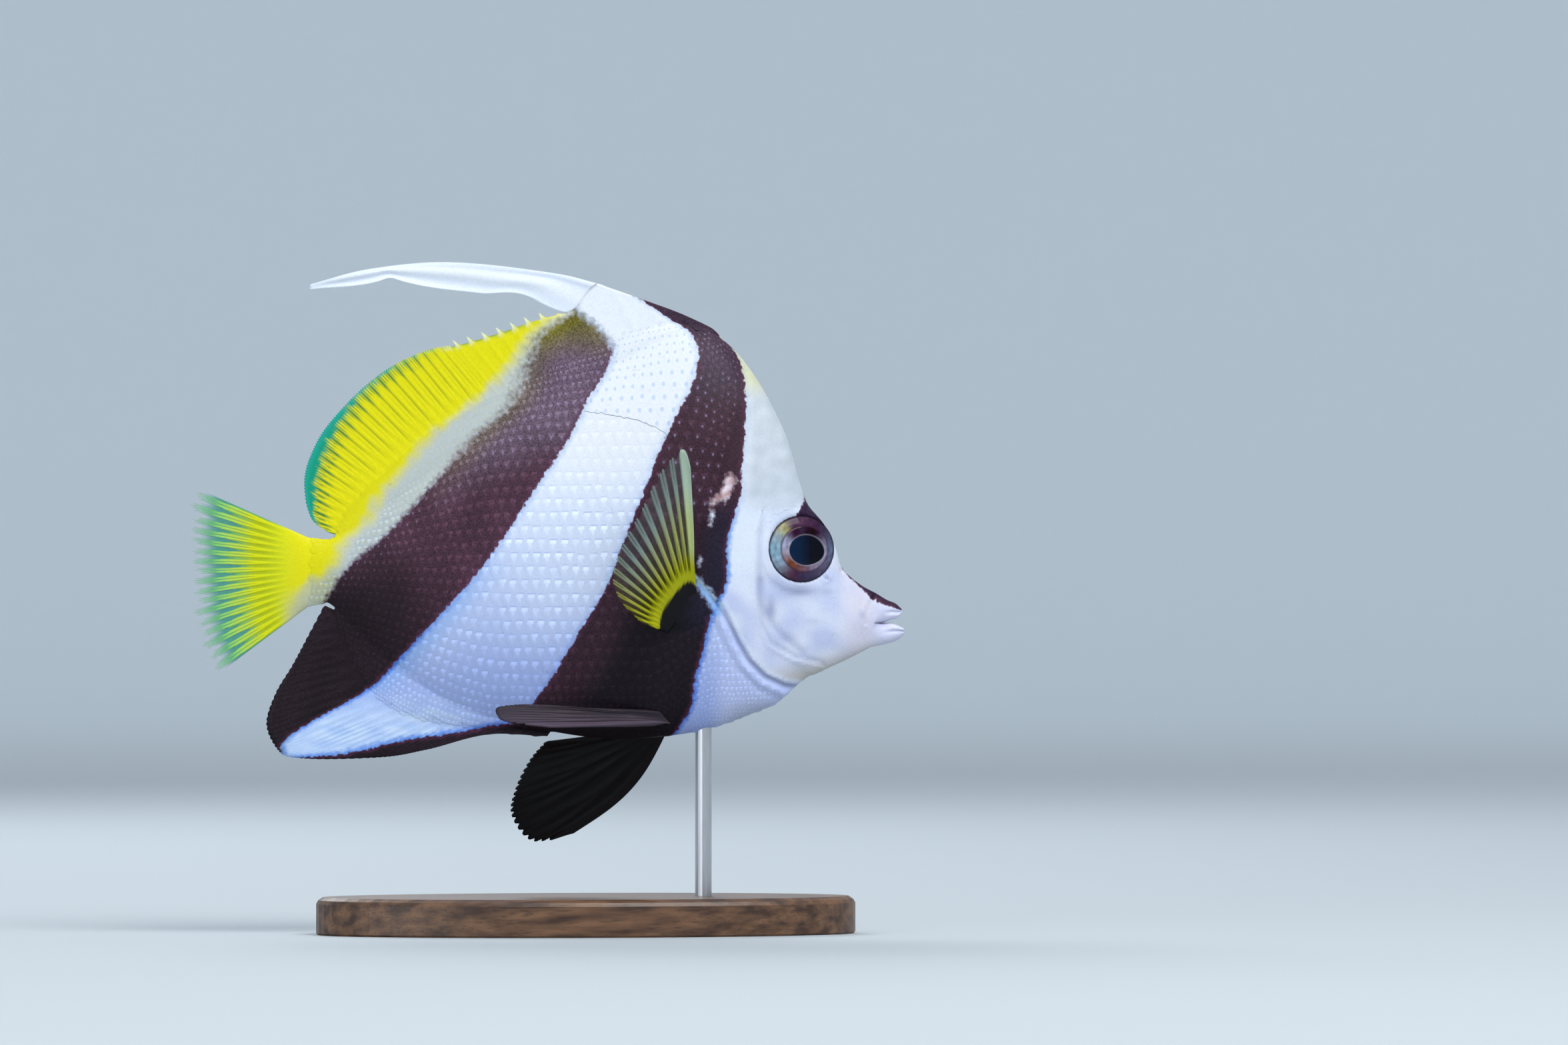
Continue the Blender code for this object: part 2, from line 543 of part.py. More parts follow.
def build():
    """Make every node of the fish and its stand."""
    clear_scene()
    white = make_material("white_skin", WHITE)
    banded = make_material("banded_skin", BANDED)
    dark = make_material("dark_fin", DARK)
    olive = make_material("olive_fin", OLIVE)
    yellow = make_material("yellow_fin", YELLOW)
    eye = make_material("eye", EYE, 0.1)
    wood = make_material("walnut", WALNUT, 0.5)
    steel = make_material("steel", STEEL, 0.3, 1.0)

    trunk = add_trunk(banded)
    body_cutter = grown_copy(trunk, "body_cutter")
    add_head(white)
    add_gill_covers(white)
    add_jaw("upper_jaw", UPPER_JAW_LOW, UPPER_JAW_TOP, (MOUTH_T, 1.0), 1.9, white)
    add_jaw("lower_jaw", LOWER_JAW_LOW, LOWER_JAW_TOP, (-1.0, MOUTH_T), 1.8, white)
    add_eye("eye_right", -1, eye)
    add_eye("eye_left", 1, eye)
    add_dorsal_fins(white, olive, yellow)
    add_banner(white)
    add_anal_fin(dark)
    add_tail(yellow, yellow)
    pectoral = (PECTORAL_ROOT, PECTORAL_TIP, PECTORAL_RAYS, (0.0, 0.0, 1.5))
    paired_fin("pectoral_fin_right", -1, *pectoral, yellow, body_cutter)
    paired_fin("pectoral_fin_left", 1, *pectoral, yellow, body_cutter)
    swept = (PELVIC_SWEPT_ROOT, PELVIC_SWEPT_TIP, PELVIC_RAYS, (0.0, 0.0, 1.0))
    paired_fin("pelvic_fin_right", -1, *swept, dark, body_cutter)
    hanging = (PELVIC_HANGING_ROOT, PELVIC_HANGING_TIP, PELVIC_RAYS, (2.6, -2.4, 1.0))
    paired_fin("pelvic_fin_left", 1, *hanging, dark, body_cutter)
    add_stand(wood, steel, body_cutter)


build()
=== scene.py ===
"""Looks of a life-size bannerfish on its stand: skin, scales, fins, eyes, floor, lights and camera.

Named lengths are millimetres and meshes are metres. The fish looks along +X and its middle plane is
y = 0. Its body and median fins share one net: s runs from the front of the head (0) to the end of
the tail stalk (1), and t runs up each column from the belly (-1) to the back (1).
"""

import math

import bmesh
import bpy
import numpy as np
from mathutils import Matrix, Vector


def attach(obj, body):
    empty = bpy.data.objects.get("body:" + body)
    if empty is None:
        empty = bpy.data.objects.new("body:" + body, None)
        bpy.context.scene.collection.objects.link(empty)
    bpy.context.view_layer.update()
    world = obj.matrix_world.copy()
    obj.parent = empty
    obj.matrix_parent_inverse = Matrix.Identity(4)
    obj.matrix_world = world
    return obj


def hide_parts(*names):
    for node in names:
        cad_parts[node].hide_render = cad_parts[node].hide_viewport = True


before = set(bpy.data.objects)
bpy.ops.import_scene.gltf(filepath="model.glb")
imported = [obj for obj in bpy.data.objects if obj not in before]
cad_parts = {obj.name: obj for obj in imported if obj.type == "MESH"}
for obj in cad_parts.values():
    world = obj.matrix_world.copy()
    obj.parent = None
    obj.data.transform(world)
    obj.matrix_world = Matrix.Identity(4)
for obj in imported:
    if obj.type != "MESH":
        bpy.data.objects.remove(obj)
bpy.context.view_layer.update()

MM = 0.001

# Columns of the net where the fins begin and end
NAPE_S = 0.462
BANNER_S = (0.585, 0.635)
SOFT_DORSAL_S = 0.73
DORSAL_END_S = 0.936
ANAL_S = (0.752, 0.934)
MOUTH_T = -0.12

# Line of the back: s, x, z
BACK = [
    (0.00, 70.0, 81.6), (0.05, 66.2, 83.7), (0.10, 61.7, 87.8), (0.14, 59.6, 92.8),
    (0.18, 57.3, 97.6), (0.22, 53.6, 102.6), (0.26, 51.2, 108.8), (0.32, 48.0, 119.6),
    (0.38, 42.5, 130.7), (0.42, 38.5, 136.6), (0.46, 33.1, 142.2), (0.50, 26.7, 144.6),
    (0.60, 8.1, 137.3), (0.70, -12.1, 126.9), (0.80, -33.1, 113.9), (0.88, -48.5, 102.4),
    (0.94, -59.5, 95.0), (0.97, -63.0, 94.2), (1.00, -66.9, 95.0),
]
# Line of the belly: s, x, z
BELLY = [
    (0.00, 68.8, 68.6), (0.10, 63.3, 65.8), (0.26, 55.9, 62.4), (0.42, 50.2, 58.9),
    (0.46, 46.0, 55.2), (0.50, 40.4, 52.8), (0.60, 24.2, 48.0), (0.70, 3.2, 46.9),
    (0.75, -8.1, 48.5), (0.80, -21.8, 51.5), (0.86, -35.4, 57.0), (0.91, -50.1, 68.0),
    (0.94, -60.6, 78.5), (0.97, -63.5, 79.0), (1.00, -66.9, 78.4),
]
# How far each column bows towards the tail between the belly and the back: s, x
BOW = [
    (0.00, 0.0), (0.10, -0.8), (0.26, -8.0), (0.42, -14.6), (0.60, -9.0), (0.80, -3.0), (0.94, 0.0),
    (1.00, 0.0),
]
# How much of the bow lies towards the belly
BOW_SKEW = 0.94
# Half of the body's thickness where it is fattest, at the back's edge and at the belly's edge
THICKNESS = [
    (0.00, 2.9, 0.6, 0.6), (0.10, 4.6, 0.6, 0.6), (0.18, 6.7, 0.6, 0.6), (0.26, 8.9, 0.6, 0.6),
    (0.34, 11.0, 0.6, 0.6), (0.42, 12.4, 0.7, 0.6), (0.50, 12.8, 1.5, 0.6), (0.58, 12.4, 1.6, 0.7),
    (0.66, 11.2, 1.6, 0.8), (0.74, 9.6, 1.5, 1.2), (0.82, 7.5, 1.4, 1.3), (0.88, 5.6, 1.3, 1.2),
    (0.94, 3.4, 1.1, 1.0), (1.00, 2.6, 0.9, 0.9),
]
HEAD_FRONT_HALF = THICKNESS[0][1]
# Least half thickness of the skin
THINNEST = 0.3
# Half thickness of the jaws: at their upper and lower edges, and of each one where its lip is fattest
LIP_EDGE_HALF = 0.35
UPPER_LIP_HALF = 1.9
LOWER_LIP_HALF = 1.8
# Exponents of the rounding towards the back and towards the belly
ROUNDING = [
    (0.00, 0.50, 0.50), (0.42, 0.60, 0.52), (0.55, 0.92, 0.52), (0.75, 1.00, 0.80), (0.90, 0.95, 0.95),
    (1.00, 0.55, 0.55),
]
# Edges of the dorsal and anal fins over their roots: s, x, z
DORSAL_EDGE = [
    (0.462, 32.9, 142.6), (0.475, 31.4, 144.3), (0.490, 29.6, 145.6), (0.505, 24.2, 148.1),
    (0.540, 13.7, 152.0), (0.575, 5.0, 155.0),
    (0.585, 2.6, 155.8), (0.595, 1.0, 154.6), (0.635, -5.0, 148.8), (0.650, -10.0, 147.9),
    (0.690, -21.6, 144.1), (0.720, -30.4, 141.5), (0.750, -38.0, 139.9), (0.782, -46.4, 136.2),
    (0.830, -57.5, 127.1), (0.872, -65.1, 117.0), (0.908, -67.6, 106.4), (0.920, -66.8, 101.6),
    (0.930, -64.9, 98.2), (0.936, -62.0, 96.2),
]
ANAL_EDGE = [
    (0.752, -9.5, 47.2), (0.773, -22.4, 47.9), (0.803, -38.5, 44.2), (0.833, -51.2, 42.3),
    (0.853, -67.2, 42.1), (0.875, -74.3, 44.7), (0.888, -76.6, 50.7), (0.900, -74.4, 57.8),
    (0.912, -70.5, 64.4), (0.925, -66.7, 71.6), (0.934, -62.9, 78.8),
]
# Edges of the banner, the tail fin and the jaws: share of the length, x, z
BANNER_TOP = [(0.00, 2.6, 155.8), (0.08, -3.2, 157.4), (0.20, -12.9, 159.0), (0.50, -36.8, 160.8),
              (0.70, -51.3, 159.3), (1.00, -66.2, 155.5)]
BANNER_LOW = [(0.00, -5.0, 148.8), (0.05, -8.8, 149.7), (0.10, -12.9, 152.1), (0.30, -25.9, 153.4),
              (0.62, -44.4, 156.2), (0.66, -47.2, 157.0), (0.71, -50.3, 156.1), (1.00, -66.2, 154.3)]
TAIL_EDGE = [(0.00, -92.2, 106.4), (0.10, -93.0, 101.5), (0.50, -92.7, 84.5), (0.70, -92.0, 76.2),
             (0.88, -89.8, 68.2), (1.00, -87.2, 63.0)]
UPPER_JAW_TOP = [(0.0, 70.0, 81.6), (0.4, 72.7, 80.0), (0.8, 75.1, 78.9), (1.0, 76.3, 77.8)]
UPPER_JAW_LOW = [(0.0, 69.4, 74.45), (0.4, 71.9, 74.5), (0.65, 73.6, 75.2), (0.85, 75.4, 75.7),
                 (1.0, 76.3, 77.0)]
LOWER_JAW_TOP = [(0.0, 69.3, 74.40), (0.4, 71.9, 74.4), (0.65, 73.9, 74.4), (1.0, 76.7, 73.2)]
LOWER_JAW_LOW = [(0.0, 68.8, 68.6), (0.4, 72.7, 69.4), (0.7, 75.1, 70.2), (1.0, 76.9, 71.6)]

# Bend of the tail to the fish's left: where it starts and is in full, and its slope there
SWAY_X = (-35.0, -70.0)
SWAY_SLOPE = 0.14

# Paired fins: share of the root or tip line, x, y, z
PECTORAL_ROOT = [(0.0, 24.7, 11.4, 81.9), (1.0, 17.9, 10.9, 72.3)]
PECTORAL_TIP = [
    (0.00, 21.7, 26.0, 111.2), (0.08, 20.1, 27.0, 115.2), (0.16, 17.2, 27.0, 113.6),
    (0.40, 9.6, 26.0, 100.5), (0.64, 4.4, 24.0, 89.9), (0.76, 3.7, 22.0, 84.8),
    (0.88, 6.1, 20.0, 79.5), (1.00, 11.3, 17.0, 74.6),
]
PELVIC_HANGING_ROOT = [(0.0, 20.5, 3.4, 50.2), (1.0, 15.0, 3.0, 49.0)]
PELVIC_HANGING_TIP = [
    (0.0, -1.2, 12.0, 24.3), (0.2, -11.1, 13.0, 22.1), (0.4, -16.4, 12.0, 28.2),
    (0.6, -15.7, 10.5, 34.6), (0.8, -12.6, 9.0, 41.3), (1.0, -8.9, 6.5, 46.0),
]
PELVIC_SWEPT_ROOT = [(0.0, 19.7, 3.2, 50.4), (1.0, 17.1, 5.4, 53.4)]
PELVIC_SWEPT_TIP = [
    (0.0, -9.9, 18.0, 49.9), (0.2, -21.0, 18.0, 51.2), (0.4, -23.2, 16.0, 52.8),
    (0.6, -22.8, 13.5, 54.4), (0.8, -17.9, 12.0, 55.0), (1.0, -13.5, 11.0, 54.9),
]

# Half thickness of the fins' skin at its root and edge, height of the rays, and their numbers
MEMBRANE_HALF = 0.3
EDGE_HALF = 0.25
RAY_RISE = 0.28
FRONT_SPINES = 4
REAR_SPINES = 8
SOFT_RAYS = 24
ANAL_RAYS = 20
TAIL_RAYS = 17
PECTORAL_RAYS = 15
PELVIC_RAYS = 6
# Columns of the mesh to each ray
RAY_STEPS = 12
TAIL_STEPS = 14
# Rows of the mesh from the belly to the back, and from each fin's root to its edge
BODY_ROWS = 110
DORSAL_ROWS = 24
ANAL_ROWS = 20
TAIL_ROWS = 34
PAIRED_ROWS = 44
# Columns of the dorsal fin under the banner, of the banner along its length, and of the jaws
UNDER_BANNER = 20
BANNER_COLUMNS = 90
JAW_COLUMNS = 26
# Rings of the eye and points round each
EYE_RINGS = 45
EYE_SIDES = 96

# Borders of the two dark bands, of the yellow and of the anal fin's black margin
BAND1_FRONT = [
    (47.3, 20.6), (54.5, 24.5), (60.9, 25.1), (67.3, 26.7), (77.7, 29.2), (83.3, 31.9), (94.4, 32.4),
    (100.0, 34.0), (105.5, 35.9), (110.5, 36.0), (115.5, 36.6), (129.5, 37.5), (136.7, 36.8), (140.1, 35.3),
    (143.2, 32.2),
]
BAND1_REAR = [
    (46.0, -20.0), (51.4, -16.2), (61.8, -9.0), (72.1, -3.2), (81.7, 2.7), (94.4, 7.6), (105.6, 12.3),
    (115.9, 16.4), (123.9, 20.4), (134.3, 25.6), (139.0, 26.5), (144.7, 24.1), (147.9, 19.4),
    (152.7, 12.1),
]
BAND2_FRONT = [
    (45.8, -73.0), (48.0, -70.5), (50.6, -66.6), (52.5, -63.4), (55.0, -58.6), (57.5, -54.4), (60.0, -51.0),
    (62.5, -48.4), (65.0, -46.2), (69.8, -42.1), (77.7, -35.0), (86.5, -27.2), (97.6, -19.3), (107.2, -12.8),
    (119.9, -4.3), (127.9, -0.2), (136.7, 5.4), (141.0, 6.0), (144.7, 3.3), (150.0, -3.0),
]
BAND2_REAR = [
    (79.6, -63.2), (83.3, -61.3), (86.5, -59.0), (96.2, -48.3), (102.2, -42.5), (108.9, -36.5),
    (118.8, -27.8), (126.3, -19.4), (137.5, -14.2), (143.9, -11.2), (149.0, -3.2),
]
# Height of the gap between the tail stalk and the anal fin
STALK_FOOT = 78.2
YELLOW_FRONT = [
    (74.0, -73.5), (76.3, -71.6), (79.6, -69.6), (83.4, -67.6), (88.1, -61.1), (94.4, -57.8),
    (97.6, -53.8), (104.5, -49.8), (111.0, -44.1), (119.8, -36.6), (127.6, -26.8), (139.1, -16.0),
    (143.9, -12.8), (148.7, -5.6),
]
ANAL_MARGIN = [(-74.0, 41.9), (-57.6, 43.4), (-44.9, 46.3), (-28.9, 48.7), (-14.7, 51.4), (-9.2, 52.2)]
# Width of the clear margin of the dorsal fin: s, mm
CLEAR_MARGIN = [(0.49, 0.0), (0.72, 0.0), (0.76, 0.5), (0.80, 1.1), (0.83, 2.0), (0.86, 3.3), (0.90, 4.0),
                (0.925, 2.0), (0.936, 0.6)]
# Lines of relief on the head and side: x, z
GILL_LINE = [
    (36.0, 128.0), (34.0, 118.0), (31.0, 107.0), (29.0, 102.5), (27.6, 98.2), (25.0, 89.2), (25.2, 85.6),
    (27.9, 83.0), (30.8, 79.6), (32.8, 76.3), (35.8, 70.4), (38.6, 66.0), (42.6, 62.2), (47.7, 60.0),
    (53.5, 59.4),
]
# Line of the painted blue highlight along the gill cover's edge: x, z
GILL_GLEAM = [(24.8, 85.6), (26.8, 82.8), (28.6, 80.2), (29.9, 77.6)]
CHEEK_LINE = [
    (41.0, 100.8), (39.8, 96.0), (39.5, 88.0), (39.8, 80.1), (40.8, 73.5), (43.2, 69.0), (49.5, 65.6),
    (56.0, 64.2),
]
CHEEK_GROOVE = [(40.9, 84.4), (41.2, 78.6), (43.8, 74.2), (47.5, 70.4), (51.6, 67.4)]
LIP_LINE = [(69.8, 81.1), (68.4, 79.2), (67.4, 76.8), (67.4, 74.4)]
SIDE_LINE = [
    (27.7, 102.4), (24.2, 109.5), (21.6, 115.5), (19.2, 118.9), (15.4, 121.4), (11.1, 123.1),
    (4.3, 124.4), (-1.3, 125.2), (-13.1, 123.4), (-29.0, 117.0), (-45.0, 106.4), (-57.8, 94.1), (-70.3, 86.5),
]
SIDE_CREASE_X = (-1.3, 19.2)
# Soft shadows of the cheek: x, z, half width, half height, strength
CHEEK_SHADES = [
    (50.9, 82.2, 5.6, 2.0, 0.70), (43.4, 78.0, 1.6, 3.4, 0.70), (40.6, 84.0, 0.9, 3.5, 0.35),
    (57.6, 82.0, 2.6, 1.0, 0.30), (54.0, 75.0, 3.0, 1.0, 0.22), (70.9, 74.0, 1.9, 0.7, 0.60),
    (48.0, 71.0, 3.0, 1.5, 0.30), (66.2, 76.4, 0.9, 1.2, 0.40), (45.0, 88.0, 1.2, 5.0, 0.20),
]
# Healed scar on the right side only, along its middle: x, z, and its half width at each x
SCAR = [(29.0, 103.2), (30.9, 105.0), (32.6, 106.9), (33.4, 108.5)]
SCAR_HALF = [(29.0, 0.75), (30.6, 0.70), (32.4, 1.55), (33.4, 1.15)]
# Painted glints: thin bright streaks on the gill cover's edge, right side only
GILL_GLINTS = (((28.2, 98.2), (29.1, 102.0)), ((25.5, 88.7), (25.9, 89.8)))

EYE_CENTRE = (51.0, 92.2)
EYE_RADII = (8.3, 8.0)
EYE_DEPTH = 7.5
EYE_TILT = (-0.33, -0.04)
EYE_BULGE = 2.0
EYE_BACK = EYE_DEPTH - 4.5
PUPIL_CENTRE = (1.0, -0.25)
PUPIL_RADII = (4.3, 3.6)
IRIS_CENTRE = (0.65, 0.05)
IRIS_RADII = (5.95, 5.5)
# Tones round the outer and the inner ring of the iris: angle from the front, then the colour
OUTER_IRIS = [
    (0, 0.09, 0.12, 0.20), (45, 0.035, 0.018, 0.05), (90, 0.07, 0.028, 0.060), (115, 0.08, 0.045, 0.06),
    (134, 0.30, 0.29, 0.14), (154, 0.24, 0.30, 0.34), (180, 0.20, 0.33, 0.42), (210, 0.22, 0.29, 0.38),
    (238, 0.09, 0.055, 0.09), (275, 0.040, 0.026, 0.07), (320, 0.08, 0.07, 0.13),
]
INNER_IRIS = [
    (0, 0.22, 0.21, 0.31), (40, 0.03, 0.012, 0.03), (90, 0.024, 0.010, 0.028), (125, 0.05, 0.025, 0.055),
    (160, 0.28, 0.28, 0.40), (195, 0.27, 0.22, 0.28), (220, 0.18, 0.07, 0.05), (255, 0.14, 0.05, 0.045),
    (285, 0.15, 0.09, 0.13), (315, 0.24, 0.21, 0.30),
]
NOSTRILS = ((57.3, 85.1), (61.3, 87.0))
# Fleshy base of the pectoral fin
PECTORAL_BASE = (21.0, 78.6)
PECTORAL_BASE_RADII = (7.0, 6.2)

# Scales: spacing up the side and along a row in the middle of the flank
SCALE_ROW = 3.25
SCALE_STEP = 2.7
# How far the skin sinks under them, how far their roots stand out of it, their rise and their thickness
SCALE_SINK = 0.10
SCALE_LIFT = 0.05
SCALE_DEPTH = 0.075
SCALE_THICK = 0.09
# Spacing, rise and share of the full thickness of the head's scales
HEAD_SCALE = 0.95
HEAD_DEPTH = 0.04
HEAD_SHARE = 0.4
# Width up the side and length of a scale, as shares of the spacing
SCALE_SPREAD = (1.22, 1.9)
HEAD_SPREAD = (1.25, 1.7)
# Smallest scale of the flank that is made with the finer mesh, as a share of the largest
BIG_SCALE = 0.42
# Largest lean of a surface that still bears scales: least sideways part of its normal
SCALE_FACING = 0.35
# Place from which rows and scales are counted
FLANK_Z = 87.0
FLANK_X = 5.0
# Share of a scale's length at which its pale tile lies
TILE_BACK = 0.74
# Height above the side line that stands for scales without a pattern
PLAIN = 200.0
# Pitch of the raster on which the rows of scales are laid out
RASTER = 0.5
# Cells that hold a first guess of the net at each place: their size, the first one's place, their numbers
CELL = 1.0
CELLS_FROM = np.array([-95.0, 35.0])
CELL_COUNT = (180, 135)
# Small step in the net, by which its slope is measured, and how far from a point its place may stay, in mm
NUDGE = 1e-4
NEAR = 0.3
# Map of the scales: the length of fish it covers, each side's share of its width, and a patch's size
BAKE_FROM = -80.0
BAKE_TO = 76.0
BAKE_HALF = 0.47
BAKE_PATCH = 0.003

# Colours, linear
PALE = (0.75, 0.78, 0.83)
SILVER = (0.69, 0.76, 0.91)
LAVENDER = (0.36, 0.46, 0.82)
CREAM = (0.49, 0.54, 0.60)
STRAW = (0.66, 0.66, 0.36)
BEIGE = (0.46, 0.43, 0.35)
YELLOW = (0.72, 0.66, 0.002)
OLIVE_LINE = (0.30, 0.32, 0.004)
TEAL = (0.002, 0.31, 0.18)
DEEP_GREEN = (0.006, 0.17, 0.05)
FRINGE_BLUE = (0.24, 0.44, 0.84)
MAROON = (0.058, 0.023, 0.040)
SOOT = (0.006, 0.004, 0.009)
SMOKE = (0.145, 0.100, 0.150)
OLIVE = (0.15, 0.13, 0.016)
INK = (0.022, 0.008, 0.035)
# Marks of a place far outside every dark mark: depth, softness, blue
FAR = (-20.0, 0.0, 0.0)

# Both sides of the fish: sign of y, word
SIDES = ((-1, "right"), (1, "left"))
FLESH_NODES = (
    "head", "gill_cover_right", "gill_cover_left", "upper_jaw", "lower_jaw", "trunk", "tail_stalk",
    "tail_fin", "dorsal_fin_front", "banner", "dorsal_fin_spines", "dorsal_fin_soft", "anal_fin",
)

# Floor: radius of its flat, radius of its curve and height of its wall, in metres, and its sides
STAGE_FLAT = 3.6
STAGE_CURVE = 1.4
STAGE_TOP = 5.0
STAGE_SIDES = 96
# Camera: its turn, its distance and aim in metres, and its lens in millimetres; point that lights face
CAMERA_TURN = math.radians(-8.0)
CAMERA_REACH = 3.136
CAMERA_LENS = 300.0
CAMERA_AIM = (0.04783, 0.0, 0.09856)
LIGHT_AIM = (0, 0, 0.09)


def curve(table, share):
    """Smooth curve through a table whose first column is the share, read at each share given."""
    rows = np.array(table, dtype=float)
    knots = rows[:, 0]
    values = rows[:, 1:]
    slopes = np.gradient(values, knots, axis=0)
    share = np.clip(np.asarray(share, dtype=float), knots[0], knots[-1])
    left = np.clip(np.searchsorted(knots, share, side="right") - 1, 0, len(knots) - 2)
    width = (knots[left + 1] - knots[left])[..., None]
    u = (share[..., None] - knots[left][..., None]) / width
    start = values[left] * (1 + 2 * u) * (1 - u) ** 2 + slopes[left] * width * u * (1 - u) ** 2
    end = values[left + 1] * u ** 2 * (3 - 2 * u) - slopes[left + 1] * width * u ** 2 * (1 - u)
    return start + end


def level(table, share):
    """A curve of one value."""
    return curve(table, share)[..., 0]


def smooth(low, high, value):
    """Soft step from 0 at low to 1 at high."""
    share = np.clip((np.asarray(value) - low) / (high - low), 0, 1)
    return share * share * (3 - 2 * share)


def mix(first, second, share):
    """Blend of two colours or colour fields."""
    share = np.asarray(share)[..., None]
    return np.asarray(first) * (1 - share) + np.asarray(second) * share


def lumps(x, z, size, seed):
    """Smooth random field, mostly within 1 of zero, whose lumps are about as wide as size."""
    rng = np.random.default_rng(seed)
    total = np.zeros(np.shape(x))
    for _ in range(9):
        angle, phase = rng.uniform(0, 2 * math.pi, 2)
        pitch = 2 * math.pi / (size * rng.uniform(1.3, 2.8))
        total += np.sin(pitch * (x * math.cos(angle) + z * math.sin(angle)) + phase)
    return total / 3


def to_line(x, z, line):
    """Distance to a broken line, and which side of it a point lies on."""
    points = np.array(line, dtype=float)
    best = np.full(np.shape(x), 1e9)
    side = np.zeros(np.shape(x))
    for start, end in zip(points, points[1:]):
        step = end - start
        share = np.clip(((x - start[0]) * step[0] + (z - start[1]) * step[1]) / (step @ step), 0, 1)
        off_x = x - start[0] - share * step[0]
        off_z = z - start[1] - share * step[1]
        distance = np.hypot(off_x, off_z)
        nearer = distance < best
        best = np.where(nearer, distance, best)
        side = np.where(nearer, np.sign(step[0] * off_z - step[1] * off_x), side)
    return best, side


def sway(x):
    """Sideways shift of the tail, in y, at each x."""
    reach = np.clip((SWAY_X[0] - x) / (SWAY_X[0] - SWAY_X[1]), 0, None)
    bend = np.where(reach < 1, reach ** 2 / 2, reach - 0.5)
    return SWAY_SLOPE * (SWAY_X[0] - SWAY_X[1]) * bend


def body_point(s, t):
    """Place in the middle plane, x and z, of a point of the net."""
    share = ((t + 1) / 2)[..., None]
    flat = curve(BELLY, s) * (1 - share) + curve(BACK, s) * share
    flat[..., 0] += level(BOW, s) * (1 - t ** 2) * (1 - BOW_SKEW * t)
    return flat


def body_half(s, t):
    """Half of the body's thickness at a point of the net."""
    core, back_edge, belly_edge = np.moveaxis(curve(THICKNESS, s), -1, 0)
    upper, lower = np.moveaxis(curve(ROUNDING, s), -1, 0)
    edge = np.where(t > 0, back_edge, belly_edge)
    power = np.where(t > 0, upper, lower)
    swell = np.clip(1 - t ** 2, 0, 1) ** power
    return edge + (core - edge) * swell


def steps_to_one(count):
    """Equal steps above 0, the last of them 1."""
    return np.linspace(0, 1, count + 1)[1:]


def net(first, second):
    """Two share lists as the rows and columns of a grid."""
    return np.meshgrid(np.asarray(first, dtype=float), np.asarray(second, dtype=float), indexing="ij")


def ray_height(u, v, first_fork=0.30, second_fork=0.62, spread=1.0):
    """Height, 0 to 1, of branching rays: u counts rays across the fin and v runs from root to edge."""
    part = u - np.floor(u) - 0.5
    finer = 0.125 * spread * smooth(second_fork, second_fork + 0.25, v)
    spread = 0.25 * spread * smooth(first_fork, first_fork + 0.3, v)
    nearest = np.full(np.shape(u), 1.0)
    for major in (-1, 1):
        for minor in (-1, 1):
            nearest = np.minimum(nearest, np.abs(part - major * spread - minor * finer))
    width = 0.22 - 0.10 * smooth(first_fork, first_fork + 0.3, v) - 0.06 * smooth(second_fork, 1.0, v)
    return np.exp(-(nearest / width) ** 2)


def spine_height(u):
    """Height, 0 to 1, of plain spines."""
    part = u - np.floor(u) - 0.5
    return np.exp(-(part / 0.16) ** 2)


def fin_half(v, ray, root_half, blend_to=0.35):
    """Half of a fin's thickness at share v of its height, with the rays raised."""
    fade = smooth(0, blend_to, v)
    membrane = MEMBRANE_HALF + (EDGE_HALF - MEMBRANE_HALF) * v - 0.1
    return root_half * (1 - fade) + membrane * fade + ray * (RAY_RISE + 0.1) * (1 - 0.6 * v)


def inside_share(x, z, centre, radii):
    """Distance from an ellipse's centre as a share of its radii."""
    return np.hypot((x - centre[0]) / radii[0], (z - centre[1]) / radii[1])


def place_of(values, wanted):
    """Number of the value that is nearest to one wanted."""
    return int(np.abs(values - wanted).argmin())


def eye_plane(x, z):
    """Half thickness of the head in the tilted plane where the eye sits."""
    return EYE_DEPTH + EYE_TILT[0] * (x - EYE_CENTRE[0]) + EYE_TILT[1] * (z - EYE_CENTRE[1])


def bump(value, centre, width):
    """Soft ridge of height 1 round a value."""
    return np.exp(-((value - centre) / width) ** 2)


def in_line_frame(x, z, line):
    """Distance from a broken line, positive on the left of its direction."""
    distance, side = to_line(x, z, line)
    return distance * side


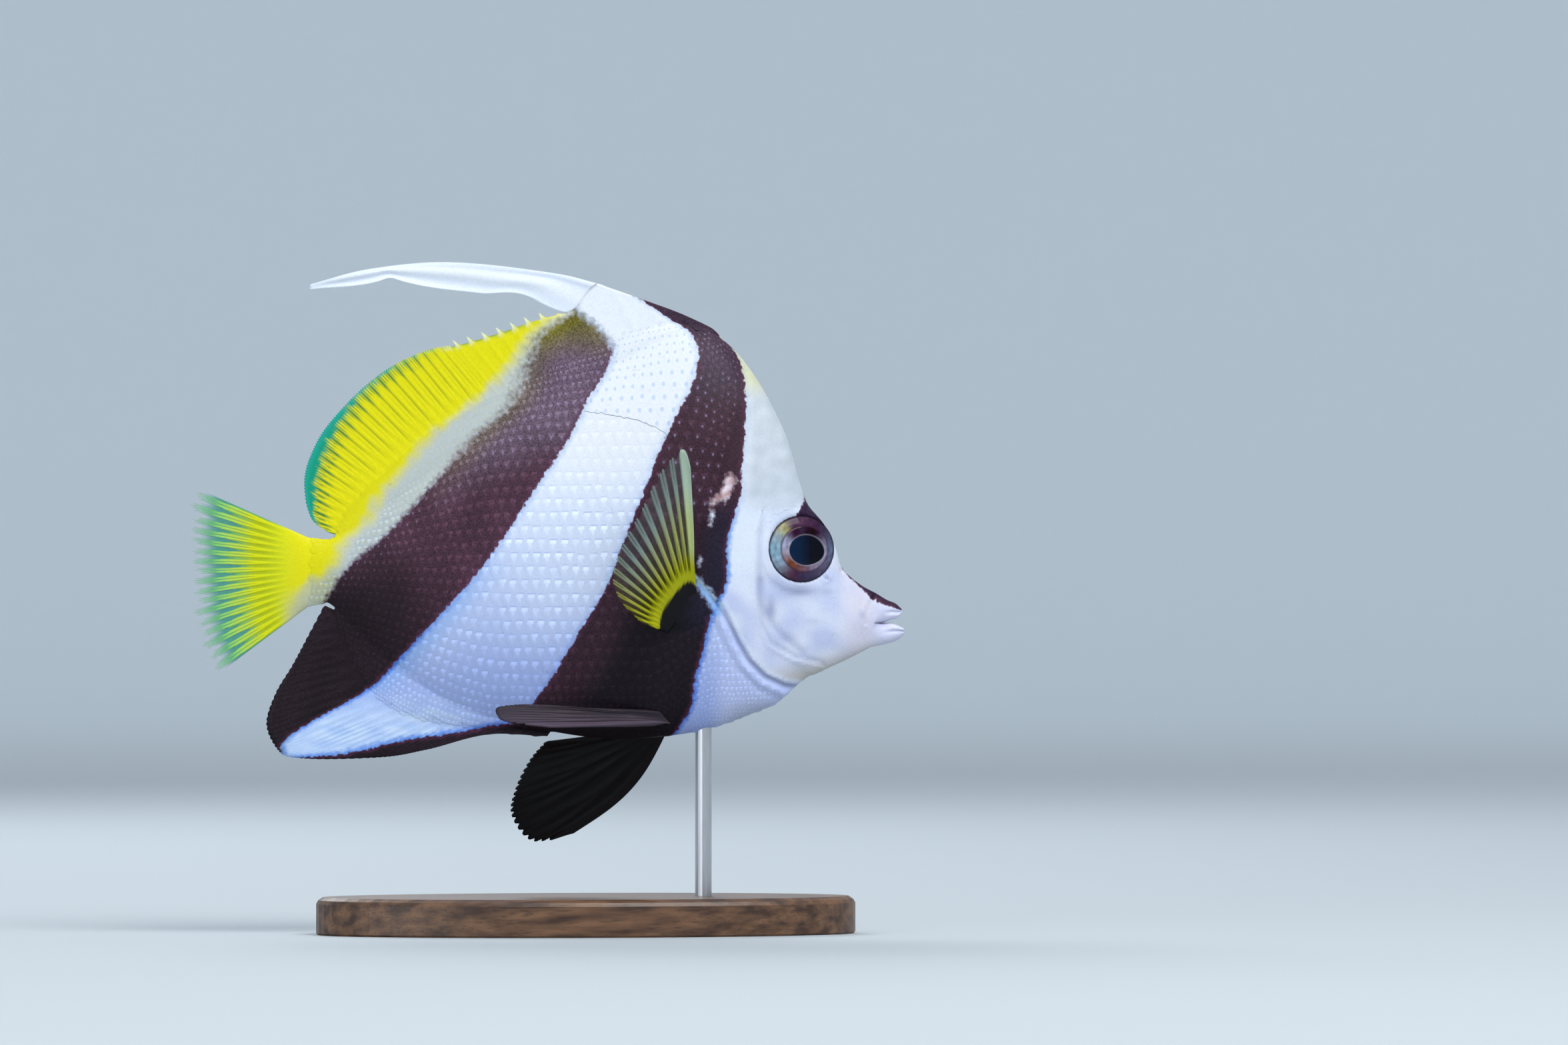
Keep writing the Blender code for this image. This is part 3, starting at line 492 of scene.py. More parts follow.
def relief(x, z, half):
    """Half thickness of the skin with the orbit, nostrils, gill cover, cheek and side line in it."""
    share = inside_share(x, z, EYE_CENTRE, EYE_RADII)
    round_eye = 1 - smooth(1.0, 1.4, share)
    half = half * (1 - round_eye) + eye_plane(x, z) * round_eye
    half = half + 0.14 * bump(share, 1.05, 0.03) - 0.06 * bump(share, 1.12, 0.035)
    half = half - 3.0 * smooth(1.0, 0.8, share) - 0.3 * smooth(1.0, 0.97, share)
    for place in NOSTRILS:
        away = np.hypot(x - place[0], z - place[1])
        half = half - 0.7 * bump(away, 0, 0.5) + 0.22 * bump(away, 0.95, 0.3)
    ahead = in_line_frame(x, z, GILL_LINE)
    open_gill = smooth(120, 100, z)
    cover = 0.55 * smooth(-0.5, 0.3, ahead) * smooth(9, 1, ahead)
    half = half + open_gill * (cover - 0.35 * bump(ahead, -0.9, 0.6))
    lower = smooth(88, 82, z) * smooth(24, 30, x)
    half = half + lower * (0.34 * bump(ahead, -2.6, 0.8) - 0.22 * bump(ahead, -4.0, 0.6))
    cheek = in_line_frame(x, z, CHEEK_LINE)
    half = half + 0.20 * bump(cheek, -0.2, 0.6) - 0.24 * bump(cheek, 0.9, 0.8)
    groove, _ = to_line(x, z, CHEEK_GROOVE)
    half = half - 0.28 * bump(groove, 0, 1.0)
    lip = in_line_frame(x, z, LIP_LINE)
    half = half - 0.20 * bump(lip, 0, 0.4) + 0.14 * bump(lip, -0.9, 0.6)
    face = smooth(34, 44, x) * smooth(1.15, 1.5, share)
    half = half + face * (0.07 * lumps(x, z, 5.0, 11) + 0.012 * lumps(x, z, 1.8, 12))
    base = inside_share(x, z, PECTORAL_BASE, PECTORAL_BASE_RADII)
    return half + 1.1 * smooth(1.05, 0.3, base)


def scaly(x, z, s, q):
    """1 where scales lie, 0 on bare skin. q is t on the body, and beyond 1 it climbs the fins."""
    snout = smooth(62.5, 58.5, x)
    eye = smooth(1.24, 1.34, inside_share(x, z, EYE_CENTRE, EYE_RADII))
    base = smooth(0.85, 1.05, inside_share(x, z, PECTORAL_BASE, PECTORAL_BASE_RADII))
    slit = 1 - smooth(100, 92, z) * bump(in_line_frame(x, z, GILL_LINE), -1.2, 1.3)
    fins = smooth(1.36, 1.18, np.abs(q))
    banner = 1 - smooth(0.56, 0.59, s) * smooth(0.66, 0.63, s) * smooth(1.25, 1.4, q)
    return snout * eye * base * slit * fins * banner


def skin_half(s, t):
    """Half thickness of the skin, which lies under the scales."""
    flat = body_point(s, t)
    x, z = flat[..., 0], flat[..., 1]
    nominal = body_half(s, t)
    edge_fade = smooth(0.0, 2.0, nominal)
    carved = nominal + (relief(x, z, nominal) - nominal) * edge_fade
    return np.maximum(carved - SCALE_SINK * scaly(x, z, s, t), THINNEST)


def pale_marks(x, z, right):
    """Distance outside the pale marks on a dark band, in mm, and the scar's and the gleam's share. The pale
    marks are the scar and the painted highlight and glints on the gill cover's edge.
    """
    gleam = to_line(x, z, GILL_GLEAM)[0] - level([(77.0, 0.5), (80.0, 1.1), (83.0, 0.9), (86.0, 0.4)], z)
    if not right:
        return gleam, np.zeros_like(x), smooth(1.5, 0.5, gleam)
    scar = to_line(x, z, SCAR)[0] - level(SCAR_HALF, x)
    # Painted glints on the gill cover's edge.
    streaks = np.minimum(*(to_line(x, z, streak)[0] for streak in GILL_GLINTS)) - 0.22
    return np.minimum(np.minimum(gleam, scar), streaks), smooth(2.0, 0.5, scar), smooth(1.5, 0.5, gleam)


def band_depths(x, z):
    """Depth inside the front and rear borders of both bands and inside the anal fin's margin, in mm."""
    front1 = (level(BAND1_FRONT, z) - x) * 0.95
    rear1 = (x - level(BAND1_REAR, z)) * 0.88
    front2 = (level(BAND2_FRONT, z) - x) * 0.76
    rear2 = (x - level(BAND2_REAR, z) + 30 * np.clip(STALK_FOOT - z, 0, None)) * 0.76
    margin = np.where(x < -4, level(ANAL_MARGIN, x) - z, -50)
    return np.stack([front1, rear1, front2, rear2, margin])


def dark_marks(x, z, right):
    """Depth inside a dark mark in mm, softness of its edge and strength of the blue along it."""
    borders = band_depths(x, z)
    front1, rear1, front2, rear2, margin = borders
    band = np.maximum(np.maximum(np.minimum(front1, rear1), np.minimum(front2, rear2)), margin)
    pale = pale_marks(x, z, right)[0]
    depth = np.maximum(np.minimum(band, pale), face_ink(x, z))
    nearest = np.abs(borders).argmin(0)
    strengths = np.stack([
        0.20 + 0.75 * smooth(106, 96, z), 0.30 + 0 * z, 0.35 + 0.55 * smooth(84, 66, z), 0 * z, 0.9 + 0 * z,
    ])
    rim = np.take_along_axis(strengths, nearest[None], 0)[0] * smooth(44, 41, x) * (pale > band)
    top = smooth(137, 145, z) * smooth(15, 9, x)
    soft = np.where(nearest == 3, 0.3 + 0.7 * smooth(100, 132, z), 0.0)
    soft = np.maximum(soft, 0.30 * (pale < band))
    return np.stack([depth, np.maximum(soft, 0.8 * top), rim], axis=-1)


def face_ink(x, z):
    """Depth of the dark marks over the eye and along the snout, in mm."""
    below = np.maximum(in_line_frame(x, z, [row[1:] for row in BACK[:9]]), 0)
    brow = level([(92.0, -0.4), (96.0, 0.5), (98.0, 2.6), (100.0, 4.6), (101.5, 3.4), (103.0, 1.6),
                  (106.0, 0.2), (108.0, -0.6)], z) - below
    brow = np.where((x > 46) & (z > 91), brow, -5.0)
    snout = level([(59.0, -0.6), (62.0, 0.35), (66.0, 0.8), (68.0, 1.5), (69.0, 2.0), (70.0, 1.2),
                   (76.5, 1.0)], x) - below
    snout = np.where((x > 60.5) & (z > 76), snout, -5.0)
    return np.maximum(brow, snout)


def yellow_depth(x, z):
    """How far behind the border of the yellow a point lies, in mm."""
    return (level(YELLOW_FRONT, z) - x) * 0.7


def ground_colour(x, z):
    """Colour of the skin between the bands."""
    drift = z + 3 * lumps(x, z, 16, 1)
    # The skin runs from lavender at the belly through silver to pale on the back: partly the fish's own tone
    # and partly painted shade, darker towards the belly.
    colour = mix(LAVENDER, SILVER, smooth(52, 104, drift))
    colour = mix(colour, PALE, smooth(96, 122, drift))
    forehead = smooth(34, 40, x) * smooth(98, 106, z)
    colour = mix(colour, CREAM, forehead * (0.8 + 0.1 * lumps(x, z, 2.5, 5)))
    colour = mix(colour, STRAW, 0.7 * smooth(127, 134, z) * smooth(30, 34, x))
    colour = mix(colour, face_colour(x, z), smooth(28, 34, x) * smooth(102, 96, z))
    front2, rear2 = band_depths(x, z)[2:4]
    fringe = smooth(-6.5, -0.5, front2) * smooth(96, 78, z) * smooth(1.5, 0.5, front2) * smooth(50, 62, z)
    colour = mix(colour, FRINGE_BLUE, 0.60 * fringe)
    belly = smooth(-20, -40, x) * smooth(60, 50, z)
    streaks = 0.5 + 0.5 * lumps(x * 0.35 + z, z * 0.35 - x * 0.2, 1.4, 6)
    streaked = mix((0.60, 0.72, 0.88), (0.42, 0.56, 0.82), np.clip(streaks, 0, 1))
    colour = mix(colour, streaked, 0.8 * belly)
    strip = smooth(1.5, -0.5, rear2) * smooth(-4, -10, x) * smooth(78, 84, z)
    colour = mix(colour, (0.44, 0.48, 0.43), 0.85 * strip)
    colour = mix(colour, (0.48, 0.49, 0.25), 0.75 * smooth(-57, -63, x) * smooth(66, 72, z))
    yellow = smooth(-1.9, 1.9, yellow_depth(x, z) + 0.40 * lumps(x, z, 2.2, 3))
    return mix(colour, YELLOW, yellow)


def face_colour(x, z):
    """Colour of the cheek, snout, throat and breast, with painted soft shadows of the folds and a painted
    highlight on the gill cover's edge.
    """
    shade = np.clip(0.45 + 0.5 * lumps(x, z, 4.5, 2), 0, 1)
    colour = mix((0.66, 0.70, 0.84), (0.42, 0.48, 0.74), shade * 0.6)
    colour = mix(colour, (0.71, 0.77, 0.87), smooth(46, 38, x) * smooth(80, 90, z))
    colour = mix(colour, (0.61, 0.57, 0.66), 0.7 * smooth(58, 66, x))
    ahead = in_line_frame(x, z, GILL_LINE)
    breast = smooth(1.0, -1.0, ahead) * smooth(84, 78, z)
    colour = mix(colour, (0.52, 0.60, 0.93), 0.85 * breast)
    throat = smooth(67, 60, z - 0.25 * (x - 50)) * smooth(0, 1.5, ahead)
    colour = mix(colour, BEIGE, 0.8 * throat)
    lowest = smooth(58, 52, z) * smooth(28, 40, x)
    colour = mix(colour, (0.44, 0.48, 0.56), 0.6 * lowest)
    for *centre, wide, high, share in CHEEK_SHADES:
        away = inside_share(x, z, centre, (wide, high))
        colour = mix(colour, (0.24, 0.28, 0.48), share * bump(away, 0, 0.8))
    # Painted shade in the cheek's groove and along its fold.
    groove, _ = to_line(x, z, CHEEK_GROOVE)
    colour = mix(colour, (0.26, 0.30, 0.50), 0.30 * bump(groove, 0, 0.9))
    cheek = in_line_frame(x, z, CHEEK_LINE)
    colour = mix(colour, (0.30, 0.33, 0.50), 0.30 * bump(cheek, 0.8, 0.8))
    # Painted shadow just behind the gill cover's edge, and a painted highlight on the cover just ahead of it.
    edge = smooth(87, 80, z) * bump(ahead, -0.3, 0.45)
    colour = mix(colour, (0.16, 0.17, 0.28), 0.6 * edge)
    colour = mix(colour, (0.66, 0.74, 0.86), 0.5 * smooth(87, 80, z) * bump(ahead, 0.9, 0.5))
    lip = smooth(67, 72, x) * smooth(84, 80, z)
    return mix(colour, (0.59, 0.62, 0.83), 0.6 * lip)


def ink_colour(x, z):
    """Colour of the dark bands."""
    rear_share = smooth(16, 2, x - level(BAND1_REAR, z))
    low = smooth(104, 74, z) * (1 - 0.85 * rear_share) * smooth(-25, -10, x)
    colour = mix(MAROON, SOOT, np.clip(0.9 * low, 0, 1))
    colour = mix(colour, SOOT, 0.75 * smooth(60, 47, z) * smooth(-30, -10, x))
    anal = smooth(84, 60, z) * smooth(-44, -64, x)
    colour = mix(colour, (0.022, 0.013, 0.017), 0.9 * anal)
    margin = smooth(-2, 1, level(ANAL_MARGIN, x) - z) * smooth(2, -4, x)
    colour = mix(colour, SOOT, 0.8 * margin)
    base = inside_share(x, z, PECTORAL_BASE, PECTORAL_BASE_RADII)
    colour = mix(colour, SOOT, smooth(1.15, 0.85, base))
    front = smooth(9, 3, level(BAND1_FRONT, z) - x) * smooth(106, 98, z) * smooth(70, 78, z)
    colour = mix(colour, (0.013, 0.012, 0.032), 0.8 * front * smooth(12, 18, x))
    colour = mix(colour, (0.009, 0.004, 0.007), 0.9 * smooth(96, 80, z) * smooth(-30, -48, x))
    colour = mix(colour, (0.068, 0.038, 0.068), 0.9 * smooth(124, 134, z) * smooth(14, 20, x))
    above = smooth(-13, 0, -in_line_frame(x, z, SIDE_LINE)) * smooth(14, 8, x) * smooth(-42, -22, x)
    colour = mix(colour, SMOKE, 0.75 * above)
    top = smooth(136, 147, z) * smooth(14, 8, x)
    rearmost = above * smooth(9, 1, x - level(BAND2_REAR, z))
    colour = mix(colour, OLIVE, np.clip(0.80 * top + 0.4 * rearmost, 0, 1))
    colour = mix(colour, INK, smooth(44, 48, x))
    first = smooth(-4, 0, x - level(BAND1_REAR, z))
    return colour * ((1 - 0.28 * first) * (1 + 0.12 * lumps(x, z, 6, 4)))[..., None]


def grid_faces(ids):
    """Faces between the rows and columns of a grid of numbers, or of many grids."""
    corners = [ids[..., :-1, :-1], ids[..., 1:, :-1], ids[..., 1:, 1:], ids[..., :-1, 1:]]
    return np.stack(corners, axis=-1).reshape(-1, 4).tolist()


def fan_faces(centre, ring):
    """Faces between one point and a ring of numbers that ends where it begins."""
    return [[int(centre), *pair] for pair in zip(ring.tolist(), ring.tolist()[1:])]


class Shell:
    """Points, faces and marks of one mesh, gathered patch by patch."""

    def __init__(self):
        self.points = []
        self.marks = {"ground": [], "ink": [], "edge": [], "clear": []}
        self.faces = []
        self.count = 0

    def add(self, points, ground, ink=SOOT, edge=FAR, clear=0.0):
        """Add a grid of points with their marks, and return their numbers."""
        shape = points.shape[:-1]
        self.points.append(points.reshape(-1, 3))
        for name, value in (("ground", ground), ("ink", ink), ("edge", edge)):
            self.marks[name].append(np.broadcast_to(value, shape + (3,)).reshape(-1, 3))
        self.marks["clear"].append(np.broadcast_to(clear, shape).reshape(-1))
        ids = self.count + np.arange(math.prod(shape)).reshape(shape)
        self.count += ids.size
        return ids

    def quads(self, ids):
        """Faces of a grid of numbers, or of many grids."""
        self.faces += grid_faces(ids)

    def sheet(self, sides, *marks):
        """Add the grids of a sheet's sides with their faces, and return their numbers."""
        ids = [self.add(points, *marks) for points in sides]
        for grid in ids:
            self.quads(grid)
        return ids

    def strip(self, first, second):
        """Faces between two rows of as many numbers."""
        self.quads(np.stack([first, second]))

    def bridge(self, ids, *picks):
        """Faces between the same rows of a sheet's two sides."""
        for pick in picks:
            self.strip(ids[0][pick], ids[1][pick])

    def zip(self, first, first_share, second, second_share):
        """Faces between two rows of different counts, whose shares rise along the same line."""
        i = j = 0
        while i < len(first) - 1 or j < len(second) - 1:
            go_first = j == len(second) - 1 or (
                i < len(first) - 1 and first_share[i + 1] <= second_share[j + 1]
            )
            if go_first:
                self.faces.append([int(first[i]), int(first[i + 1]), int(second[j])])
                i += 1
            else:
                self.faces.append([int(first[i]), int(second[j + 1]), int(second[j])])
                j += 1

    def build(self, name, material, clear_material=None):
        """Make the object, turn its faces outwards and give the clear faces their own material."""
        mesh = bpy.data.meshes.new(name)
        mesh.from_pydata((np.concatenate(self.points) * MM).tolist(), [], self.faces)
        marks = {label: np.concatenate(parts) for label, parts in self.marks.items()}
        for label in ("ground", "ink"):
            put_mark(mesh, label, "FLOAT_COLOR", "color", np.insert(marks[label], 3, 1.0, axis=1))
        put_mark(mesh, "edge", "FLOAT_VECTOR", "vector", marks["edge"])
        put_mark(mesh, "clear", "FLOAT", "value", marks["clear"])
        mesh.materials.append(material)
        if clear_material is not None:
            mesh.materials.append(clear_material)
            picks = [int(max(marks["clear"][face]) > 0.01) for face in self.faces]
            mesh.polygons.foreach_set("material_index", picks)
        turn_out(mesh)
        mesh.shade_smooth()
        return add_object(name, mesh)


def put_mark(mesh, label, kind, field, values):
    """Give each point of a mesh a mark."""
    values = values.astype(np.float32).reshape(-1)
    mesh.attributes.new(label, kind, "POINT").data.foreach_set(field, values)


def add_object(name, data):
    """New object in the scene."""
    thing = bpy.data.objects.new(name, data)
    bpy.context.collection.objects.link(thing)
    return thing


def turn_out(mesh):
    """Turn a closed mesh's faces outwards."""
    data = bmesh.new()
    data.from_mesh(mesh)
    bmesh.ops.recalc_face_normals(data, faces=data.faces)
    if data.calc_volume(signed=True) < 0:
        bmesh.ops.reverse_faces(data, faces=data.faces)
    data.to_mesh(mesh)
    data.free()


def both_sides(flat, half, wave=0.0):
    """Right and left grid of points of a sheet on the middle plane."""
    y = sway(flat[..., 0]) + wave
    return [np.stack([flat[..., 0], y + sign * half, flat[..., 1]], axis=-1) for sign in (-1, 1)]


def body_marks(x, z, right=True):
    """Colours and edges of the dark marks at a place of the skin."""
    _, scar, gleam = pale_marks(x, z, right)
    # Painted blue highlight along the gill cover's edge, with a brighter line on the edge itself.
    ground = mix(ground_colour(x, z), (0.20, 0.38, 0.70), 0.85 * gleam)
    bright = gleam * bump(in_line_frame(x, z, GILL_LINE), -0.2, 0.35)
    ground = mix(ground, (0.62, 0.74, 0.80), bright)
    healed = mix((0.74, 0.66, 0.74), (0.46, 0.28, 0.28), 0.5 + 0.5 * lumps(x, z, 1.3, 9))
    ground = mix(ground, healed, scar)
    return ground, ink_colour(x, z), dark_marks(x, z, right)


def body_columns():
    """Columns of the body's net, closer on the head."""
    parts = [
        np.linspace(0, 0.42, 72, endpoint=False), np.linspace(0.42, NAPE_S, 12, endpoint=False),
        np.linspace(NAPE_S, ANAL_S[0], 42, endpoint=False),
        np.linspace(*ANAL_S, 34), np.linspace(DORSAL_END_S, 1.0, 14),
    ]
    return np.concatenate(parts)


def body_rows():
    """Rows of the body's net, closer towards the back and the belly, one of them at the mouth."""
    rows = np.sin(np.linspace(-math.pi / 2, math.pi / 2, BODY_ROWS))
    rows[place_of(rows, MOUTH_T)] = MOUTH_T
    return rows


def add_body_patch(shell):
    """Head, trunk and tail stalk: numbers of the right and the left grid."""
    columns, rows = body_columns(), body_rows()
    s, t = net(columns, rows)
    flat = body_point(s, t)
    ids = []
    for points, right in zip(both_sides(flat, skin_half(s, t)), (True, False)):
        ids += shell.sheet([points], *body_marks(flat[..., 0], flat[..., 1], right))
    return columns, rows, ids


def close_edges(shell, columns, ids):
    """Close the back and the belly where no fin grows."""
    for row, fin in ((-1, (NAPE_S, DORSAL_END_S)), (0, ANAL_S)):
        first, last = (place_of(columns, end) for end in fin)
        shell.bridge(ids, np.s_[:first + 1, row], np.s_[last:, row])


def add_fin_patch(shell, columns, body_ids, row, fin_columns, heights, ray, jut, edge_table, marks_of,
                  closed):
    """Median fin on a row of the body. closed names the parts of its edge that are closed."""
    s, v = net(fin_columns, heights)
    root_t = np.full_like(s, 1.0 if row == -1 else -1.0)
    root = body_point(s, root_t)
    length = np.linalg.norm(curve(edge_table, s) - root, axis=-1)
    reach = (v * (1 + jut / length * v ** 6))[..., None]
    flat = root * (1 - reach) + curve(edge_table, s) * reach
    half = fin_half(v, 0.45 * ray * smooth(0.15, 0.5, v), body_half(s, root_t))
    marks = marks_of(flat[..., 0], flat[..., 1], s, v, ray, (1 - v) * length)
    ids = shell.sheet(both_sides(flat, half), *marks)
    first, last = place_of(columns, fin_columns[0]), place_of(columns, fin_columns[-1])
    for grid, body in zip(ids, body_ids):
        shell.zip(body[first:last + 1, row], columns[first:last + 1], grid[:, 0], fin_columns)
    for end, place in ((0, first), (-1, last)):
        shell.strip(*(np.append(body[place, row], grid[end]) for grid, body in zip(ids, body_ids)))
    shell.bridge(ids, *closed)
    return ids


def dorsal_marks(x, z, s, v, ray, edge):
    """Marks of the dorsal fin: yellow with olive lines, a green comb and a clear teal margin."""
    ground, ink, dark = body_marks(x, z)
    soft = smooth(SOFT_DORSAL_S - 0.02, SOFT_DORSAL_S + 0.03, s)
    count = (s - SOFT_DORSAL_S) / (DORSAL_END_S - SOFT_DORSAL_S) * SOFT_RAYS
    gap = np.abs(count - np.round(count))
    uneven = 0.10 * np.sin(2.4 * np.round(count))
    lines = bump(gap, 0, 0.09) * smooth(0.34, 0.60, v - uneven) * smooth(-1, 1, yellow_depth(x, z))
    ground = mix(ground, OLIVE_LINE, 0.85 * soft * lines)
    margin = level(CLEAR_MARGIN, s)
    comb = 1.4 * ray + 0.5 * lumps(x, z, 1.4, 21)
    inner = smooth(margin + 2.4, margin + 0.4, edge + 0.8 * lumps(x, z, 2.0, 22))
    stroke = smooth(0.75, 0.25, ray) * inner * smooth(0.73, 0.78, s)
    ground = mix(ground, DEEP_GREEN, 0.8 * stroke)
    stroke = bump(gap, 0, 0.14) * smooth(margin + 4.2, margin + 1.8, edge) * smooth(0.74, 0.78, s)
    ground = mix(ground, DEEP_GREEN, 0.8 * stroke)
    clear = smooth(-0.4, 0.5, margin - edge - comb) * smooth(0.70, 0.74, s)
    ground = mix(ground, TEAL, clear)
    ground = mix(ground, (0.02, 0.40, 0.36), 0.6 * clear * smooth(1.6, 0.2, edge))
    tips = smooth(1.8, 0.5, edge) * ray * smooth(BANNER_S[1], 0.66, s) * smooth(0.745, 0.73, s)
    ground = mix(ground, (0.70, 0.76, 0.74), 0.8 * tips)
    fringe = smooth(1.0, 0.3, edge) * (1 - ray) * smooth(0.64, 0.68, s) * (1 - soft)
    ground = mix(ground, DEEP_GREEN, 0.75 * fringe)
    return ground, ink, dark, 0.06 * clear


def anal_marks(x, z, s, v, ray, edge):
    """Marks of the anal fin."""
    ground, ink, dark = body_marks(x, z)
    streak = smooth(0.2, 0.6, v) * (1 - ray)
    ground = mix(ground, (0.34, 0.50, 0.78), 0.40 * streak)
    ink = ink * (0.75 + 0.60 * ray * smooth(0.2, 0.6, v))[..., None]
    return ground, ink, dark


def dorsal_columns():
    """Columns of the dorsal fin and, on each, the count of rays passed."""
    front = np.linspace(NAPE_S, BANNER_S[0], FRONT_SPINES * RAY_STEPS, endpoint=False)
    under = np.linspace(*BANNER_S, UNDER_BANNER, endpoint=False)
    spiny = np.linspace(BANNER_S[1], SOFT_DORSAL_S, REAR_SPINES * RAY_STEPS, endpoint=False)
    soft = np.linspace(SOFT_DORSAL_S, DORSAL_END_S, SOFT_RAYS * RAY_STEPS + 1)
    counts = [
        np.arange(len(front)) / RAY_STEPS, np.zeros(len(under)),
        np.arange(len(spiny)) / RAY_STEPS, np.arange(len(soft)) / RAY_STEPS,
    ]
    return np.concatenate([front, under, spiny, soft]), np.concatenate(counts)


def add_dorsal(shell, columns, ids):
    """Dorsal fin, and the banner on its edge."""
    fin_columns, count = dorsal_columns()
    heights = steps_to_one(DORSAL_ROWS)
    s, v = net(fin_columns, heights)
    u = np.broadcast_to(count[:, None], v.shape)
    soft = fin_columns >= SOFT_DORSAL_S
    ray = np.where(soft[:, None], ray_height(u, v), spine_height(u))
    under = (fin_columns >= BANNER_S[0]) & (fin_columns < BANNER_S[1])
    ray[under] = 0
    spiny = smooth(BANNER_S[1], BANNER_S[1] + 0.02, s)
    part = u - np.floor(u)
    tip = np.where(part < 0.5, smooth(0.05, 0.5, part) ** 3, bump(part, 0.5, 0.04))
    jut = np.where(soft[:, None], 0.5 * (ray - 0.6), spiny * (1.7 * tip - 0.45))
    first, last = np.nonzero(under)[0][0], np.nonzero(under)[0][-1] + 1
    fin_ids = add_fin_patch(shell, columns, ids, -1, fin_columns, heights, ray, jut, DORSAL_EDGE,
                            dorsal_marks, (np.s_[:first + 1, -1], np.s_[last:, -1]))
    roots = [grid[first:last + 1, -1] for grid in fin_ids]
    add_banner(shell, roots, np.linspace(0, 1, last - first + 1), fin_columns[first:last + 1])


def add_banner(shell, roots, share, root_columns):
    """Long streamer that grows from the dorsal fin's edge."""
    u, w = net(steps_to_one(BANNER_COLUMNS), share)
    flat = curve(BANNER_TOP, u) * (1 - w[..., None]) + curve(BANNER_LOW, u) * w[..., None]
    root = curve(DORSAL_EDGE, root_columns)[None]
    near_root = np.clip(1 - u / 0.08, 0, 1)[..., None]
    flat = flat * (1 - near_root) + root * near_root
    fold = 0.30 * np.sin(9 * w + 3 * u) * smooth(0, 0.15, u) * smooth(1.0, 0.8, u)
    wave = 1.6 * np.sin(u * 7.0) * u + fold
    spine = 0.35 * bump(w, 0.10, 0.07) * (1 - u)
    half = MEMBRANE_HALF - 0.05 * u + spine
    # Painted shade that follows the banner's folds.
    shade = 0.5 + 0.5 * np.sin(9 * w + 3 * u)
    ground = mix((0.76, 0.80, 0.86), (0.62, 0.68, 0.80), 0.6 * shade)
    ids = shell.sheet(both_sides(flat, half, wave), ground)
    full = [np.concatenate([root_row[None], grid]) for root_row, grid in zip(roots, ids)]
    for grid in full:
        shell.quads(grid[:2])
    shell.bridge(full, np.s_[:, 0], np.s_[:, -1], -1)


def add_anal(shell, columns, ids):
    """Anal fin."""
    fin_columns = np.linspace(*ANAL_S, ANAL_RAYS * RAY_STEPS + 1)
    heights = steps_to_one(ANAL_ROWS)
    u, v = net(np.arange(len(fin_columns)) / RAY_STEPS, heights)
    ray = np.where(u < 3, spine_height(u), ray_height(u, v))
    jut = 0.4 * (ray - 0.6)
    add_fin_patch(shell, columns, ids, 0, fin_columns, heights, ray, jut, ANAL_EDGE, anal_marks,
                  (np.s_[:, -1],))


def tail_marks(x, z, share, v, ray, window):
    """Marks of the tail fin: yellow, olive between the rays, and clear windows between their ends."""
    ground = mix(ground_colour(x, z), (0.66, 0.68, 0.003), smooth(-69, -74, x))
    patch = smooth(0.34, 0.10, v) * smooth(0.62, 0.95, share)
    ground = mix(ground, (0.48, 0.48, 0.28), 0.8 * patch)
    lines = smooth(0.7, 0.2, ray) * smooth(0.16, 0.45, v)
    ground = mix(ground, (0.26, 0.34, 0.004), 0.65 * lines)
    sandy = (1 - ray) * smooth(0.45, 0.65, v)
    ground = mix(ground, (0.15, 0.42, 0.13), 0.8 * sandy)
    ground = mix(ground, (0.09, 0.57, 0.20), 0.85 * smooth(0.50, 0.90, v) * ray)
    between = smooth(0.85, 0.40, ray) * smooth(0.64, 0.84, v)
    clear = np.maximum(window, between)
    ground = mix(ground, (0.003, 0.30, 0.20), smooth(0.2, 0.8, clear))
    edge = smooth(0.012, 0.004, np.minimum(share, 1 - share)) * smooth(0.1, 0.4, v)
    ground = mix(ground, TEAL, 0.8 * edge)
    return ground, SOOT, FAR, np.clip(0.45 * clear + 0.55 * smooth(0.80, 1.0, v), 0, 1)


def add_tail(shell, rows, ids):
    """Tail fin on the end of the stalk."""
    share_list = np.linspace(0, 1, TAIL_RAYS * TAIL_STEPS + 1)
    heights = steps_to_one(TAIL_ROWS)
    share, v = net(share_list, heights)
    u = share * TAIL_RAYS
    ray = ray_height(u, v, 0.28, 0.60, 0.68)
    part = np.abs(u - np.floor(u) - 0.5)
    wide = 0.30 * smooth(0.56, 0.80, v - 0.06 * np.sin(np.round(u) * 2.4))
    window = smooth(0.0, 0.06, part - 0.5 + wide)
    t = 1 - 2 * share
    root = body_point(np.ones_like(t), t)
    uneven = 0.02 * np.sin(2.4 * np.floor(u)) + 0.02 * np.sin(4.1 * np.floor(2 * u))
    reach = (v * (1 + (0.10 * (ray - 0.6) + uneven) * v ** 6))[..., None]
    flat = root * (1 - reach) + curve(TAIL_EDGE, share) * reach
    half = fin_half(v, 0.6 * ray * smooth(0.15, 0.45, v), body_half(np.ones_like(t), t), 0.5)
    marks = tail_marks(flat[..., 0], flat[..., 1], share, v, ray, window)
    fin_ids = shell.sheet(both_sides(flat, half), *marks)
    for grid, body in zip(fin_ids, ids):
        shell.zip(body[-1][::-1], (1 - rows[::-1]) / 2, grid[:, 0], share_list)
    for end, row in ((0, -1), (-1, 0)):
        shell.strip(*(np.append(body[-1, row], grid[end]) for grid, body in zip(fin_ids, ids)))
    shell.bridge(fin_ids, np.s_[:, -1])


